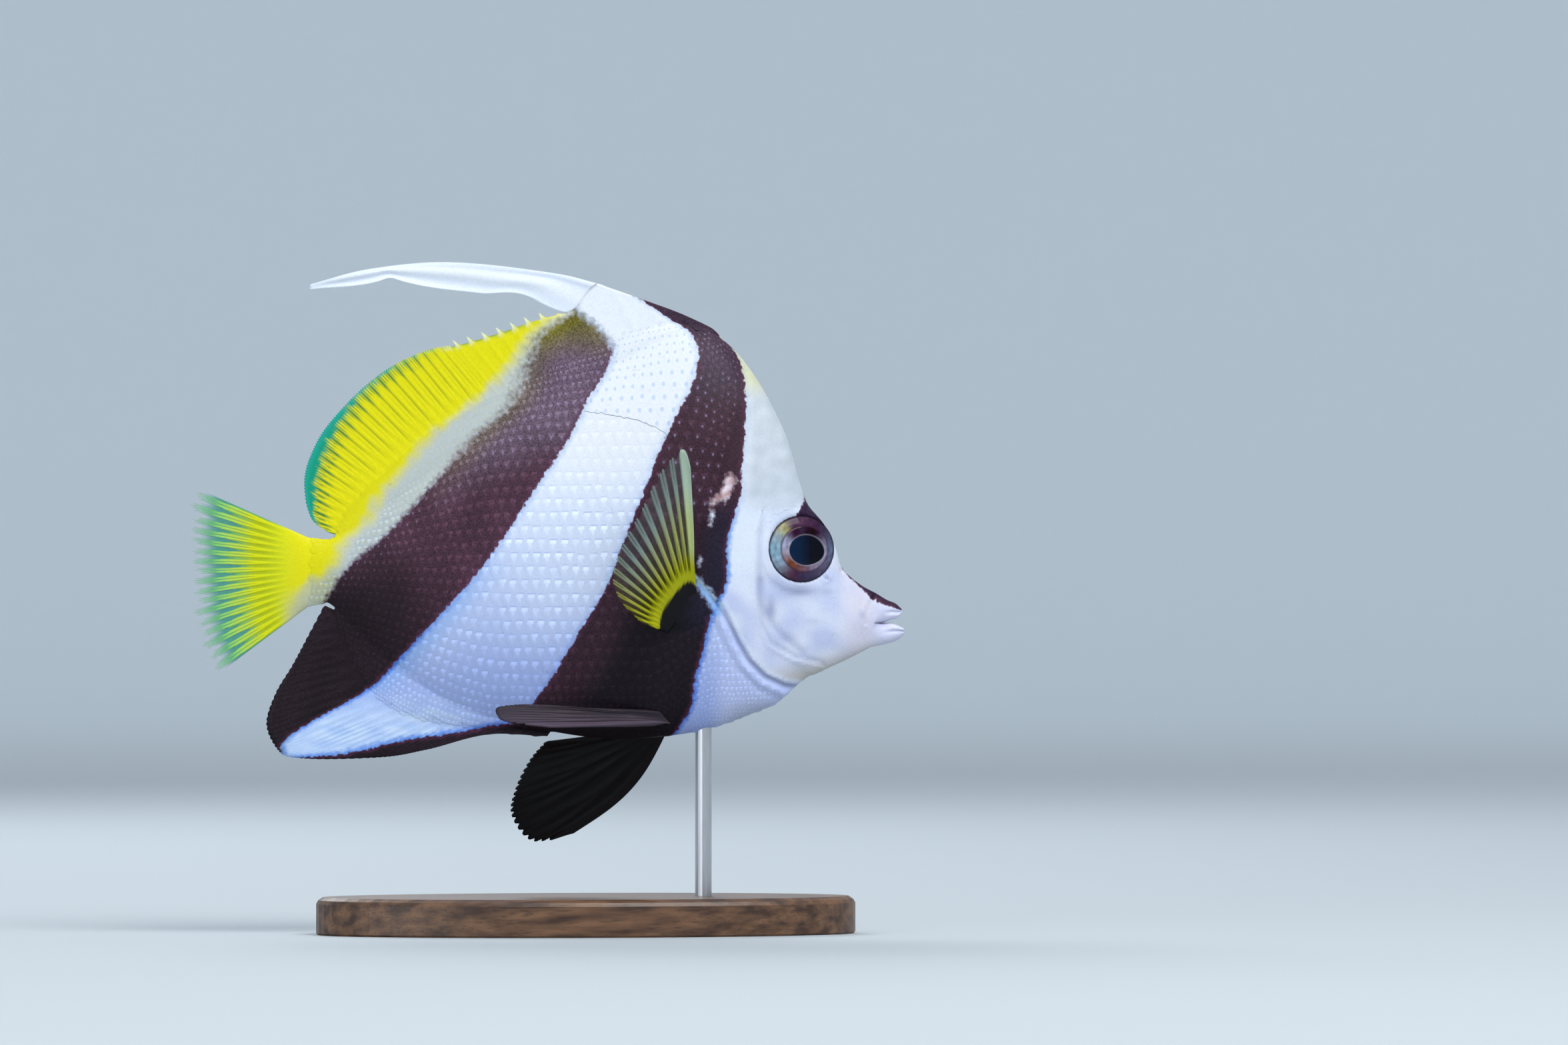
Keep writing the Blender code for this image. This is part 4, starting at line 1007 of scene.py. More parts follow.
def add_jaw(shell, rows, ids, low_table, high_table, tip_half, upper):
    """One jaw, from the head's front column to its lip."""
    keep = rows >= MOUTH_T - 1e-6 if upper else rows <= MOUTH_T + 1e-6
    t_list = rows[keep]
    b_list = (t_list - t_list[0]) / (t_list[-1] - t_list[0])
    a_list = steps_to_one(JAW_COLUMNS)
    a, b = net(a_list, b_list)
    t = np.repeat(t_list[None], len(a_list), axis=0)
    flat = curve(low_table, a) * (1 - b[..., None]) + curve(high_table, a) * b[..., None]
    face = body_point(np.zeros_like(t), t)
    root = (np.clip(1 - a / 0.3, 0, 1) ** 2)[..., None]
    flat = flat * (1 - root) + face * root
    lip_t = 2 * b - 1
    widest = HEAD_FRONT_HALF + (tip_half - HEAD_FRONT_HALF) * a
    lip = LIP_EDGE_HALF + (widest - LIP_EDGE_HALF) * np.sqrt(np.clip(1 - lip_t ** 2, 0, 1))
    lip = lip * (1 - 0.35 * smooth(0.75, 1.0, a))
    edge_b = b if upper else 1 - b
    roll = smooth(0.45, 0.2, edge_b) * smooth(0.35, 0.7, a)
    lip = lip + 0.35 * roll - 0.4 * bump(edge_b, 0.45, 0.09) * smooth(0.2, 0.7, a)
    half = skin_half(np.zeros_like(t), t)
    blend = smooth(0, 0.35, a)
    half = np.maximum(half * (1 - blend) + lip * blend, 0.25)
    x, z = flat[..., 0], flat[..., 1]
    ground, ink, dark = body_marks(x, z)
    if upper:
        dark[..., 0] = np.maximum(dark[..., 0], (b - 0.72) * 4.0 + 0.2 * smooth(0.8, 1, a))
    # Painted shade along the line where the lips meet, deeper towards the corner of the mouth.
    inside = smooth(0.10, 0.0, edge_b) * smooth(1.0, 0.6, a)
    ground = mix(ground, (0.24, 0.20, 0.34), 0.6 * inside)
    ground = mix(ground, (0.69, 0.70, 0.83), 0.5 * roll)
    jaw_ids = shell.sheet(both_sides(flat, half), ground, ink, dark)
    full = [np.concatenate([body[0][keep][None], grid]) for grid, body in zip(jaw_ids, ids)]
    for grid in full:
        shell.quads(grid[:2])
    shell.bridge(full, np.s_[:, 0], np.s_[:, -1], -1)


def add_skin(material, clear_material):
    """One skin for the body, its median fins and its jaws."""
    shell = Shell()
    columns, rows, ids = add_body_patch(shell)
    close_edges(shell, columns, ids)
    add_dorsal(shell, columns, ids)
    add_anal(shell, columns, ids)
    add_tail(shell, rows, ids)
    add_jaw(shell, rows, ids, UPPER_JAW_LOW, UPPER_JAW_TOP, UPPER_LIP_HALF, True)
    add_jaw(shell, rows, ids, LOWER_JAW_LOW, LOWER_JAW_TOP, LOWER_LIP_HALF, False)
    skin = shell.build("skin", material, clear_material)
    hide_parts(*FLESH_NODES)
    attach(skin, "root")


def net_place(s, q):
    """x and z at a place of the net, where q beyond 1 or -1 climbs a median fin."""
    up = np.clip(q - 1, 0, 1)[..., None]
    down = np.clip(-1 - q, 0, 1)[..., None]
    flat = body_point(s, np.clip(q, -1, 1))
    return flat + (curve(DORSAL_EDGE, s) - flat) * up + (curve(ANAL_EDGE, s) - flat) * down


def net_half(s, q):
    """Half thickness of the skin at a place of the net."""
    t = np.clip(q, -0.998, 0.998)
    v = np.clip(np.abs(q) - 1, 0, 1)
    fade = smooth(0, 0.35, v)
    return skin_half(s, t) * (1 - fade) + (MEMBRANE_HALF + 0.05) * fade


def cell_numbers(places):
    """Number of the cell of each place, and whether it is within the cells."""
    index = np.floor((places - CELLS_FROM) / CELL).astype(int)
    held = np.clip(index, 0, np.array(CELL_COUNT) - 1)
    return held[..., 0] * CELL_COUNT[1] + held[..., 1], (index == held).all(-1)


def net_guess():
    """Mean s and q of the net in each cell, and whether the cell holds any of it."""
    s, q = net(np.linspace(0.0, 1.0, 520), np.concatenate([
        np.linspace(-2, -1, 70, endpoint=False), np.sin(np.linspace(-math.pi / 2, math.pi / 2, 260)),
        np.linspace(1, 2, 71)[1:]]))
    outside = ((q > 1) & ((s < NAPE_S) | (s > DORSAL_END_S))) | (
        (q < -1) & ((s < ANAL_S[0]) | (s > ANAL_S[1])))
    number, good = cell_numbers(net_place(s, q))
    good &= ~outside
    cells = math.prod(CELL_COUNT)
    count = np.bincount(number[good], minlength=cells)
    sums = [np.bincount(number[good], weights=value[good], minlength=cells) for value in (s, q)]
    return *(np.where(count > 0, total / np.maximum(count, 1), 0.5) for total in sums), count > 0


def locate(x, z):
    """Place in the net of each point of the side view, and whether it was found."""
    wanted = np.stack([x, z], -1)
    number, _ = cell_numbers(wanted)
    s, q, ok = (value[number] for value in NET_GUESS)
    for _ in range(7):
        here = net_place(s, q)
        miss = wanted - here
        ds = (net_place(s + NUDGE, q) - here) / NUDGE
        dq = (net_place(s, q + NUDGE) - here) / NUDGE
        det = cross(ds, dq)
        det = np.where(np.abs(det) < 1e-3, 1e-3, det)
        s = np.clip(s + np.clip(cross(miss, dq) / det, -0.01, 0.01), 0, 1)
        q = np.clip(q + np.clip(cross(ds, miss) / det, -0.05, 0.05), -2, 2)
    miss = np.linalg.norm(wanted - net_place(s, q), axis=-1)
    return s, q, ok & (miss < NEAR)


def cross(first, second):
    """Area between two flat vectors."""
    return first[..., 0] * second[..., 1] - first[..., 1] * second[..., 0]


NET_GUESS = net_guess()


def surface_frame(s, q):
    """Points of the right side with their outward normals."""
    step_s, step_q = 0.002, 0.01

    def at(s_value, q_value):
        flat = net_place(s_value, q_value)
        return np.stack([flat[..., 0], -net_half(s_value, q_value), flat[..., 1]], axis=-1)

    here = at(s, q)
    along = at(np.clip(s + step_s, 0, 1), q) - at(np.clip(s - step_s, 0, 1), q)
    across = at(s, q + step_q) - at(s, q - step_q)
    normal = np.cross(along, across)
    normal /= np.linalg.norm(normal, axis=-1, keepdims=True)
    normal *= -np.sign(normal[..., 1:2])
    return here, normal


def scale_factor(x, z, s, q):
    """Size of the flank's scales at a place, as a share of the largest."""
    tail = 1 - 0.50 * smooth(-18, -62, x)
    belly = 1 - 0.45 * smooth(66, 50, z)
    breast = 1 - 0.45 * smooth(14, 30, x) * smooth(92, 74, z)
    back = 1 - 0.35 * smooth(0.72, 1.0, q)
    fins = 1 - 0.45 * smooth(1.0, 1.35, np.abs(q))
    nape = 1 - 0.35 * smooth(24, 36, x) * smooth(104, 116, z)
    return np.clip(tail * belly * breast * back * fins * nape, 0.22, 1)


def scale_rows(row_gap, step, size_of, keep_of, seed):
    """Places, x and z, of scales in staggered rows over the side."""
    xs = np.arange(-78.0, 74.0, RASTER)
    zs = np.arange(41.0, 158.0, RASTER)
    x, z = net(xs, zs)
    s, q, ok = (value.reshape(x.shape) for value in locate(x.reshape(-1), z.reshape(-1)))
    _, normal = surface_frame(s, q)
    lean = np.clip(-normal[..., 1], 0.3, 1)
    size = size_of(x, z, s, q)
    slope_z = np.where(ok, np.sqrt(1 + np.clip(np.abs(normal[..., 2] / lean), 0, 2.5) ** 2), 1)
    slope_x = np.where(ok, np.sqrt(1 + np.clip(np.abs(normal[..., 0] / lean), 0, 1.5) ** 2), 1)
    keep = ok & keep_of(x, z, s, q)
    row = np.cumsum(slope_z / (size * row_gap), axis=1) * RASTER
    row -= row[:, [place_of(zs, FLANK_Z)]]
    pace = slope_x / (size * step)
    every = np.arange(len(xs))
    places = []
    for number in range(int(row.min()), int(row.max()) + 1):
        row_z = np.array([np.interp(number, row[i], zs, left=np.nan, right=np.nan) for i in every])
        good = ~np.isnan(row_z)
        if good.sum() < 3:
            continue
        column = np.clip(np.nan_to_num((row_z - zs[0]) / RASTER, nan=0), 0, len(zs) - 2)
        k = column.astype(int)
        part = column - k
        climb = np.clip(np.gradient(np.interp(xs, xs[good], row_z[good])) / RASTER, -1.5, 1.5)
        lane = (pace[every, k] * (1 - part) + pace[every, k + 1] * part) * np.hypot(1, climb)
        lane = np.cumsum(lane) * RASTER
        lane -= lane[place_of(xs, FLANK_X)]
        for wanted in np.arange(math.ceil(lane[0]), lane[-1]) + 0.5 * (number % 2):
            place = np.interp(wanted, lane, xs)
            i = place_of(xs, place)
            if keep[i, k[i]] and good[i]:
                places.append((place, np.interp(place, xs[good], row_z[good])))
    places = np.array(places)
    return places + np.random.default_rng(seed).normal(0, 0.035, places.shape) * row_gap


def drape(top, lift, normal):
    """Sideways place of the scales' points on the skin, and which scales lie wholly on it."""
    s, q, ok = locate(top[..., 0].reshape(-1), top[..., 2].reshape(-1))
    half = net_half(s, q).reshape(lift.shape)
    facing = -normal[:, 1][:, None, None]
    share = smooth(0.30, 0.55, facing) * ok.reshape(lift.shape)
    y = top[..., 1] * (1 - share) - (half + lift / np.maximum(facing, 0.3)) * share
    return y, ok.reshape(lift.shape).all((1, 2))


def add_scales(name, places, sizes, widths, steps, depth, material, side):
    """Closed thin plates on one side of the fish. side is -1 on its right and 1 on its left."""
    s, q, ok = locate(places[:, 0], places[:, 1])
    ok &= surface_frame(s, q)[1][:, 1] < -SCALE_FACING
    places, sizes, s, q = places[ok], sizes[ok], s[ok], q[ok]
    here, normal = surface_frame(s, q)
    tail_dir = np.tile(np.array([-1.0, 0.0, 0.0]), (len(places), 1))
    tail_dir -= normal * (tail_dir * normal).sum(-1, keepdims=True)
    tail_dir /= np.linalg.norm(tail_dir, axis=-1, keepdims=True)
    up_dir = np.cross(normal, tail_dir)
    up_dir *= np.sign(up_dir[:, 2:3])
    a, b = np.meshgrid(np.linspace(-1, 1, steps[0]), np.linspace(0, 1, steps[1]))
    width, length = (value * sizes[:, None, None] for value in widths)
    run = length * ((b * (1 - 0.20 * a ** 2))[None] - 0.55)
    rise = width / 2 * (a * (0.72 + 0.28 * smooth(0, 0.45, b)))[None]
    depth = np.clip(sizes, 0.3, 1)[:, None, None] * depth
    tilt = np.random.default_rng(5).uniform(0.92, 1.10, (len(places), 1, 1))
    ending = smooth(0.95, 0.55, scaly(places[:, 0], places[:, 1], s, q))[:, None, None]
    lift = SCALE_LIFT + depth * (1.15 * b * tilt - 0.30 * a ** 2 * b) - SCALE_SINK * ending
    ways = ((tail_dir, run), (up_dir, rise), (normal, lift))
    top = here[:, None, None] + sum(way[:, None, None] * far[..., None] for way, far in ways)
    top[..., 1], whole = drape(top, lift, normal)
    top, normal, sizes, places, s, q = (value[whole] for value in (top, normal, sizes, places, s, q))
    low = top - normal[:, None, None] * (SCALE_THICK * np.clip(sizes, 0.4, 1))[:, None, None, None]
    x, z = top[..., 0], top[..., 2]
    above = np.where(x < 36, -in_line_frame(x, z, SIDE_LINE), -50.0)
    above = np.where(yellow_depth(x, z) > -1.5, PLAIN, above)
    for points in (top, low):
        points[..., 1] = points[..., 1] * -side + sway(points[..., 0])
    shell = Shell()
    grids = shell.sheet((top, low), *body_marks(x, z, side < 0))
    rims = [np.concatenate([grid[:, 0], grid[:, 1:, -1], grid[:, -1, -2::-1], grid[:, -2::-1, 0]], axis=1)
            for grid in grids]
    shell.quads(np.stack(rims, axis=1))
    coat = shell.build(name, material)
    coat.data.set_sharp_from_angle(angle=math.radians(50))
    spots = np.stack([np.broadcast_to(a, x.shape), np.broadcast_to(b, x.shape), above], axis=-1)
    put_mark(coat.data, "spot", "FLOAT_VECTOR", "vector", np.tile(spots.reshape(-1, 3), (2, 1)))
    add_bake_map(coat.data, places, s, q, a, b, side)
    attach(coat, "root")


def add_bake_map(mesh, places, s, q, a, b, side):
    """UV map where each scale is a small patch at its root's place on the unrolled side of the fish."""
    per_mm = BAKE_HALF / (BAKE_TO - BAKE_FROM)
    across = (places[:, 0] - (BAKE_FROM + BAKE_TO) / 2) * per_mm + (0.25 if side < 0 else 0.75)
    inner = np.arcsin(np.clip(q, -1, 1))
    turn = np.where(np.abs(q) < 1, inner, np.sign(q) * (math.pi / 2 + np.abs(q) - 1))
    height = level([(0.0, 24.0), (0.3, 60.0), (0.5, 95.0), (0.8, 70.0), (1.0, 22.0)], s)
    upward = 0.5 + turn / math.pi * height * per_mm * 1.2
    u = across[:, None, None] + (b[None] - 0.5) * BAKE_PATCH
    v = upward[:, None, None] + a[None] * BAKE_PATCH / 2
    per_point = np.tile(np.stack([u, v], axis=-1).reshape(-1, 2), (2, 1)).astype(np.float32)
    corners = np.zeros(len(mesh.loops), dtype=np.int32)
    mesh.loops.foreach_get("vertex_index", corners)
    mesh.uv_layers.new(name="OFBake").data.foreach_set("uv", per_point[corners].reshape(-1))


def on_head(x, z):
    """True in front of the gill cover's edge."""
    ahead = in_line_frame(x, z, GILL_LINE + [(62.0, 50.0)])
    return (ahead > 0) & (z < 128) | ((x > 36) & (z >= 120))


def add_coat(material, plain):
    """Scales of both sides: large ones on the flanks and small ones on the head."""
    def flank_keep(x, z, s, q):
        return (scaly(x, z, s, q) > 0.5) & ~on_head(x, z)

    def head_keep(x, z, s, q):
        return (scaly(x, z, s, q) > 0.5) & on_head(x, z)

    def head_size(x, z, s, q):
        return 1 - 0.25 * smooth(52, 60, x)

    flank = scale_rows(SCALE_ROW, SCALE_STEP, scale_factor, flank_keep, 7)
    head = scale_rows(HEAD_SCALE, HEAD_SCALE, head_size, head_keep, 8)
    s, q, _ = locate(flank[:, 0], flank[:, 1])
    sizes = scale_factor(flank[:, 0], flank[:, 1], s, q)
    big = sizes > BIG_SCALE
    flank_widths = np.multiply(SCALE_SPREAD, (SCALE_ROW, SCALE_STEP))
    head_widths = np.multiply(HEAD_SPREAD, HEAD_SCALE / HEAD_SHARE)
    for side, word in SIDES:
        for kind, pick, steps in (("flank", big, (5, 5)), ("fine", ~big, (3, 4))):
            add_scales(f"scales_{kind}_{word}", flank[pick], sizes[pick], flank_widths, steps,
                       SCALE_DEPTH, material, side)
        add_scales(f"scales_head_{word}", head, np.full(len(head), HEAD_SHARE), head_widths, (3, 4),
                   HEAD_DEPTH, plain, side)
        add_side_line(word, side, material)


def add_side_line(word, side, material):
    """Thin dark crease where the side line crosses the white."""
    share = np.linspace(0, 1, 61)
    start, end = SIDE_CREASE_X
    route = np.array([place for place in SIDE_LINE if start <= place[0] <= end])[::-1]
    x = start + share * (end - start)
    z = np.interp(x, route[:, 0], route[:, 1]) + 0.12 * lumps(x, x, 1.5, 51)
    s, q, _ = locate(x, z)
    here, normal = surface_frame(s, q)
    up = np.array([0.0, 0.0, 0.10]) * (np.sin(np.pi * share) ** 0.3)[:, None]
    shell = Shell()
    rows = []
    for rise, lift in ((-1, -0.05), (-0.7, 0.16), (0.7, 0.16), (1, -0.05)):
        points = here + up * rise + normal * lift
        points[:, 1] = points[:, 1] * -side + sway(points[:, 0])
        rows.append(shell.add(points, (0.22, 0.24, 0.30)))
    shell.quads(np.stack(rows + rows[:1]))
    for place in (0, -1):
        shell.faces.append([int(row[place]) for row in rows])
    crease = shell.build(f"side_line_{word}", material)
    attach(crease, "root")


def add_paired_fin(name, node, side, root_table, tip_table, rays, forks, bow, marks_of, materials):
    """Fan of rays from a root sunk in the body. Side -1 is the fish's right."""
    share_list = np.linspace(0, 1, rays * RAY_STEPS + 1)
    share, v = net(share_list, np.linspace(0, 1, PAIRED_ROWS))
    ray = np.maximum(ray_height(share * rays, v, *forks), smooth(0.125, 0.105, share))
    reach = (v * (1 + 0.035 * (ray - 0.5) * v ** 6))[..., None]
    root, tip = curve(root_table, share), curve(tip_table, share)
    points = root * (1 - reach) + tip * reach
    points += np.array([bow[0], 0, bow[1]]) * (np.sin(math.pi * v) * (1 - share))[..., None]
    points[..., 1] += bow[2] * np.sin(math.pi * v)
    points[..., 1] *= side
    along = np.gradient(points, axis=1)
    across = np.cross(np.gradient(points, axis=0), along)
    across /= np.linalg.norm(across, axis=-1, keepdims=True)
    offset = across * fin_half(v, 0.8 * ray * smooth(0.18, 0.40, v), 0.7, 0.6)[..., None]
    ground, clear = marks_of(share, v, ray, v * np.linalg.norm(tip - root, axis=-1))
    shell = Shell()
    ids = shell.sheet((points - offset, points + offset), ground, SOOT, FAR, clear)
    shell.bridge(ids, 0, -1, np.s_[:, 0], np.s_[:, -1])
    fin = shell.build(name, *materials)
    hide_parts(node)
    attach(fin, "root")
    return fin


def pectoral_marks(share, v, ray, out):
    """Marks of a pectoral fin: black root, yellow base, pale green rays, clear membrane."""
    lead = smooth(0.125, 0.105, share)
    low = smooth(0.55, 0.9, share)
    broad = np.maximum(smooth(0.25, 0.75, ray), lead)
    root = level([(0.0, 2.0), (0.12, 4.4), (0.5, 5.6), (0.85, 4.4), (1.0, 3.4)], share)
    rays = mix(mix((0.33, 0.35, 0.10), (0.48, 0.55, 0.22), lead), (0.32, 0.31, 0.02), low)
    ground = mix((0.40, 0.40, 0.001), rays, smooth(root + 3.5, root + 10, out))
    tips = mix((0.18, 0.25, 0.27), (0.40, 0.52, 0.44), lead)
    ground = mix(ground, tips, 0.85 * smooth(0.45, 0.85, v) * (1 - low))
    ground = mix(ground, (0.003, 0.002, 0.003), smooth(root + 0.3, root - 0.3, out))
    clear = (1 - broad) * smooth(root + 1.6, root + 4.0, out)
    return ground, np.maximum(clear, 0.50 * smooth(0.70, 1.0, v) * (1 - 0.6 * lead))


def hanging_marks(share, v, ray, out):
    """Marks of the far pelvic fin, which is black."""
    return mix((0.0012, 0.0012, 0.002), (0.004, 0.003, 0.004), ray), 0.0


def swept_marks(share, v, ray, out):
    """Marks of the near pelvic fin: dark, with painted highlights on the rays' ridges, strongest on the lower
    rays.
    """
    ridge_highlight = ray * (0.35 + 0.65 * smooth(0.6, 0.1, share))
    return mix((0.022, 0.015, 0.022), (0.085, 0.062, 0.088), ridge_highlight), 0.0


def add_paired_fins(material, clear_material):
    """Both pectoral fins and both pelvic fins."""
    for side, word in SIDES:
        fin = add_paired_fin(f"pectoral_{word}", f"pectoral_fin_{word}", side, PECTORAL_ROOT, PECTORAL_TIP,
                             PECTORAL_RAYS, (0.60, 0.95, 0.5), (0.0, 0.0, 1.5), pectoral_marks,
                             (material, clear_material))
    fin = add_paired_fin("pelvic_right", "pelvic_fin_right", -1, PELVIC_SWEPT_ROOT, PELVIC_SWEPT_TIP,
                         PELVIC_RAYS, (0.45, 0.75), (0.0, 0.0, 1.0), swept_marks, (material,))
    fin = add_paired_fin("pelvic_left", "pelvic_fin_left", 1, PELVIC_HANGING_ROOT, PELVIC_HANGING_TIP,
                         PELVIC_RAYS, (0.45, 0.75), (2.6, -2.4, 1.0), hanging_marks, (material,))


def pupil_share(dx, dz):
    """Distance from the pupil's centre as a share of its outline, which is drawn out forwards."""
    lean = np.degrees(np.arctan2(dz - PUPIL_CENTRE[1], dx - PUPIL_CENTRE[0]))
    return inside_share(dx, dz, PUPIL_CENTRE, PUPIL_RADII) / (1 + 0.10 * bump(lean, -14, 32))


def eye_colour(dx, dz):
    """Colour of the eye at an offset from its centre."""
    angle = np.degrees(np.arctan2(dz, dx)) % 360
    rim = inside_share(dx, dz, (0, 0), EYE_RADII)
    iris = inside_share(dx, dz, IRIS_CENTRE, IRIS_RADII)
    pupil = pupil_share(dx, dz)
    speckle = (1 + 0.18 * lumps(dx, dz, 0.9, 41))[..., None]
    outer, inner = (curve(tones + [(360, *tones[0][1:])], angle) for tones in (OUTER_IRIS, INNER_IRIS))
    colour = mix(outer, inner, smooth(1.03, 0.97, iris)) * speckle
    colour = mix(colour, (0.05, 0.015, 0.035), 0.75 * bump(iris, 1.0, 0.035))
    colour = mix(colour, (0.01, 0.006, 0.015), 0.9 * smooth(0.93, 0.98, rim))
    colour = mix(colour, (0.36, 0.34, 0.42), 0.6 * bump(pupil, 1.035, 0.025))
    # Pupil: near black in front, with a painted dim blue reflection in its rear half.
    depth = mix((0.001, 0.012, 0.042), (0.0004, 0.001, 0.005), smooth(-2.0, 3.0, dx))
    return mix(colour, depth, smooth(1.02, 0.98, pupil))


def add_eye(word, side, material):
    """Bulging eye with its rings in low relief."""
    share, turn = net(steps_to_one(EYE_RINGS) ** 0.9, np.linspace(0, 2 * math.pi, EYE_SIDES, endpoint=False))
    dx = share * EYE_RADII[0] * np.cos(turn)
    dz = share * EYE_RADII[1] * np.sin(turn)
    x, z = EYE_CENTRE[0] + dx, EYE_CENTRE[1] + dz
    dome = EYE_BULGE * np.sqrt(np.clip(1 - (share * 0.985) ** 2.2, 0, 1)) - 0.45
    iris = bump(inside_share(dx, dz, IRIS_CENTRE, IRIS_RADII), 1.0, 0.03)
    pupil = pupil_share(dx, dz)
    carve = -0.10 * iris + 0.08 * bump(pupil, 1.05, 0.05) - 0.10 * smooth(1.02, 0.96, pupil)
    front = eye_plane(x, z) + dome + carve
    shell = Shell()
    rims = []
    for depth in (front, np.full_like(front, EYE_BACK)):
        ring = shell.add(np.stack([x, side * depth, z], axis=-1), eye_colour(dx, dz))
        ring = np.concatenate([ring, ring[:, :1]], axis=1)
        shell.quads(ring)
        middle = np.array([[EYE_CENTRE[0], side * depth[0].mean(), EYE_CENTRE[1]]])
        centre = shell.add(middle, eye_colour(np.zeros(1), np.zeros(1)))[0]
        shell.faces += fan_faces(centre, ring[0])
        rims.append(ring[-1])
    shell.strip(*rims)
    eye = shell.build(f"eyeball_{word}", material)
    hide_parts(f"eye_{word}")
    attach(eye, "root")


def fill(made, **inputs):
    """Set or link a shader node's inputs by their names or, as i0 and i1, by their numbers."""
    for key, value in inputs.items():
        socket = made.inputs[int(key[1:]) if key[1:].isdigit() else key.replace("_", " ")]
        if isinstance(value, Value):
            value.tree.links.new(value.socket, socket)
        else:
            socket.default_value = (*value, 1.0) if socket.type == "RGBA" else value


class Value:
    """Output of a shader node, with which one can reckon as with a number or a colour."""

    def __init__(self, socket):
        self.socket = socket
        self.tree = socket.id_data

    def node(self, kind, output=0, **inputs):
        """Add a shader node with its inputs: the node, and the value of one output."""
        made = self.tree.nodes.new(kind)
        fill(made, **inputs)
        return made, Value(made.outputs[output])

    def maths(self, operation, other=0.0):
        """Result of a maths node whose first input is this value."""
        made, value = self.node("ShaderNodeMath", i0=self, i1=other)
        made.operation = operation
        return value

    def __add__(self, other):
        return self.maths("ADD", other)

    def __sub__(self, other):
        return self.maths("SUBTRACT", other)

    def __rsub__(self, other):
        return self * -1.0 + other

    def __mul__(self, other):
        return self.maths("MULTIPLY", other)

    def __truediv__(self, other):
        return self.maths("DIVIDE", other)

    def __pow__(self, other):
        return self.maths("POWER", other)

    def __abs__(self):
        return self.maths("ABSOLUTE")

    def spread(self, low, high, first, last, way="LINEAR"):
        """Value that runs from first to last while this one runs from low to high."""
        made, value = self.node("ShaderNodeMapRange", Value=self, From_Min=low, From_Max=high,
                                To_Min=first, To_Max=last)
        made.interpolation_type = way
        return value

    def step(self, low, high):
        """Soft step, from 0 at low to 1 at high."""
        return self.spread(low, high, 0.0, 1.0, "SMOOTHSTEP")

    def parts(self):
        """The three parts of a vector."""
        made, _ = self.node("ShaderNodeSeparateXYZ", Vector=self)
        return [Value(output) for output in made.outputs]

    def blend(self, share, first, second, way="MIX"):
        """Second colour over the first."""
        made = self.tree.nodes.new("ShaderNodeMix")
        made.data_type = "RGBA"
        made.blend_type = way
        fill(made, i0=share, i6=first, i7=second)
        return Value(made.outputs[2])

    def under(self, share, colour, way="MIX"):
        """This colour with a share of another over it."""
        return self.blend(share, self, colour, way)

    def between(self, first, second):
        """Colour that lies between two by this share."""
        return self.blend(self, first, second)

    def times(self, value):
        """This colour made lighter or darker by a value."""
        return self.under(1.0, self.node("ShaderNodeCombineXYZ", X=value, Y=value, Z=value)[1], "MULTIPLY")

    def noise(self, per_mm, detail=3.0):
        """Noise at this place with so many lumps to the millimetre."""
        return self.node("ShaderNodeTexNoise", "Fac", Vector=self, Scale=per_mm / MM, Detail=detail)[1]

    def stretched(self, scale):
        """This place with its axes scaled."""
        return self.node("ShaderNodeMapping", Vector=self, Scale=scale)[1]

    def as_bump(self, strength):
        """Normal of a surface that this height roughens."""
        return self.node("ShaderNodeBump", Height=self, Strength=strength, Distance=0.1 * MM)[1]


def attribute(tree, name, output="Fac"):
    """One of the mesh's own marks."""
    made = tree.nodes.new("ShaderNodeAttribute")
    made.attribute_name = name
    return Value(made.outputs[output])


def new_material(name):
    """Node material: itself, its tree, its shader, and the place on the object."""
    material = bpy.data.materials.new(name)
    material.use_nodes = True
    tree = material.node_tree
    place = Value(tree.nodes.new("ShaderNodeTexCoord").outputs["Object"])
    return material, tree, tree.nodes["Principled BSDF"], place


def spot_pattern(tree):
    """Pattern of one scale: its pale tile, a painted shadow along its upper part just below the edge of the
    row above, and, near the side line, its dots.
    """
    up, back, height = attribute(tree, "spot", "Vector").parts()
    above = height.step(-1.5, 1.5) * height.step(150.0, 140.0)
    below = height.step(1.5, -1.5)
    off = abs(back - TILE_BACK)
    under = up.step(0.54, 0.46)
    square = off.step(0.19, 0.11) * up.step(-0.05, 0.14) * under
    wedge = (off - (up * 0.06 + 0.09)).step(0.05, -0.05) * up.step(-0.85, -0.05) * under * 0.6
    tile = square.maths("MAXIMUM", wedge)
    row_shadow = off.step(0.25, 0.15) * up.step(0.48, 0.55) * up.step(0.72, 0.63)
    reach = ((back - TILE_BACK) / 0.095) ** 2.0 + (up / 0.34) ** 2.0
    dot = reach.step(1.3, 0.4) * above
    bead = reach.step(0.5, 0.1) * height.step(-13.0, -3.0)
    return tile, row_shadow, dot, bead, below


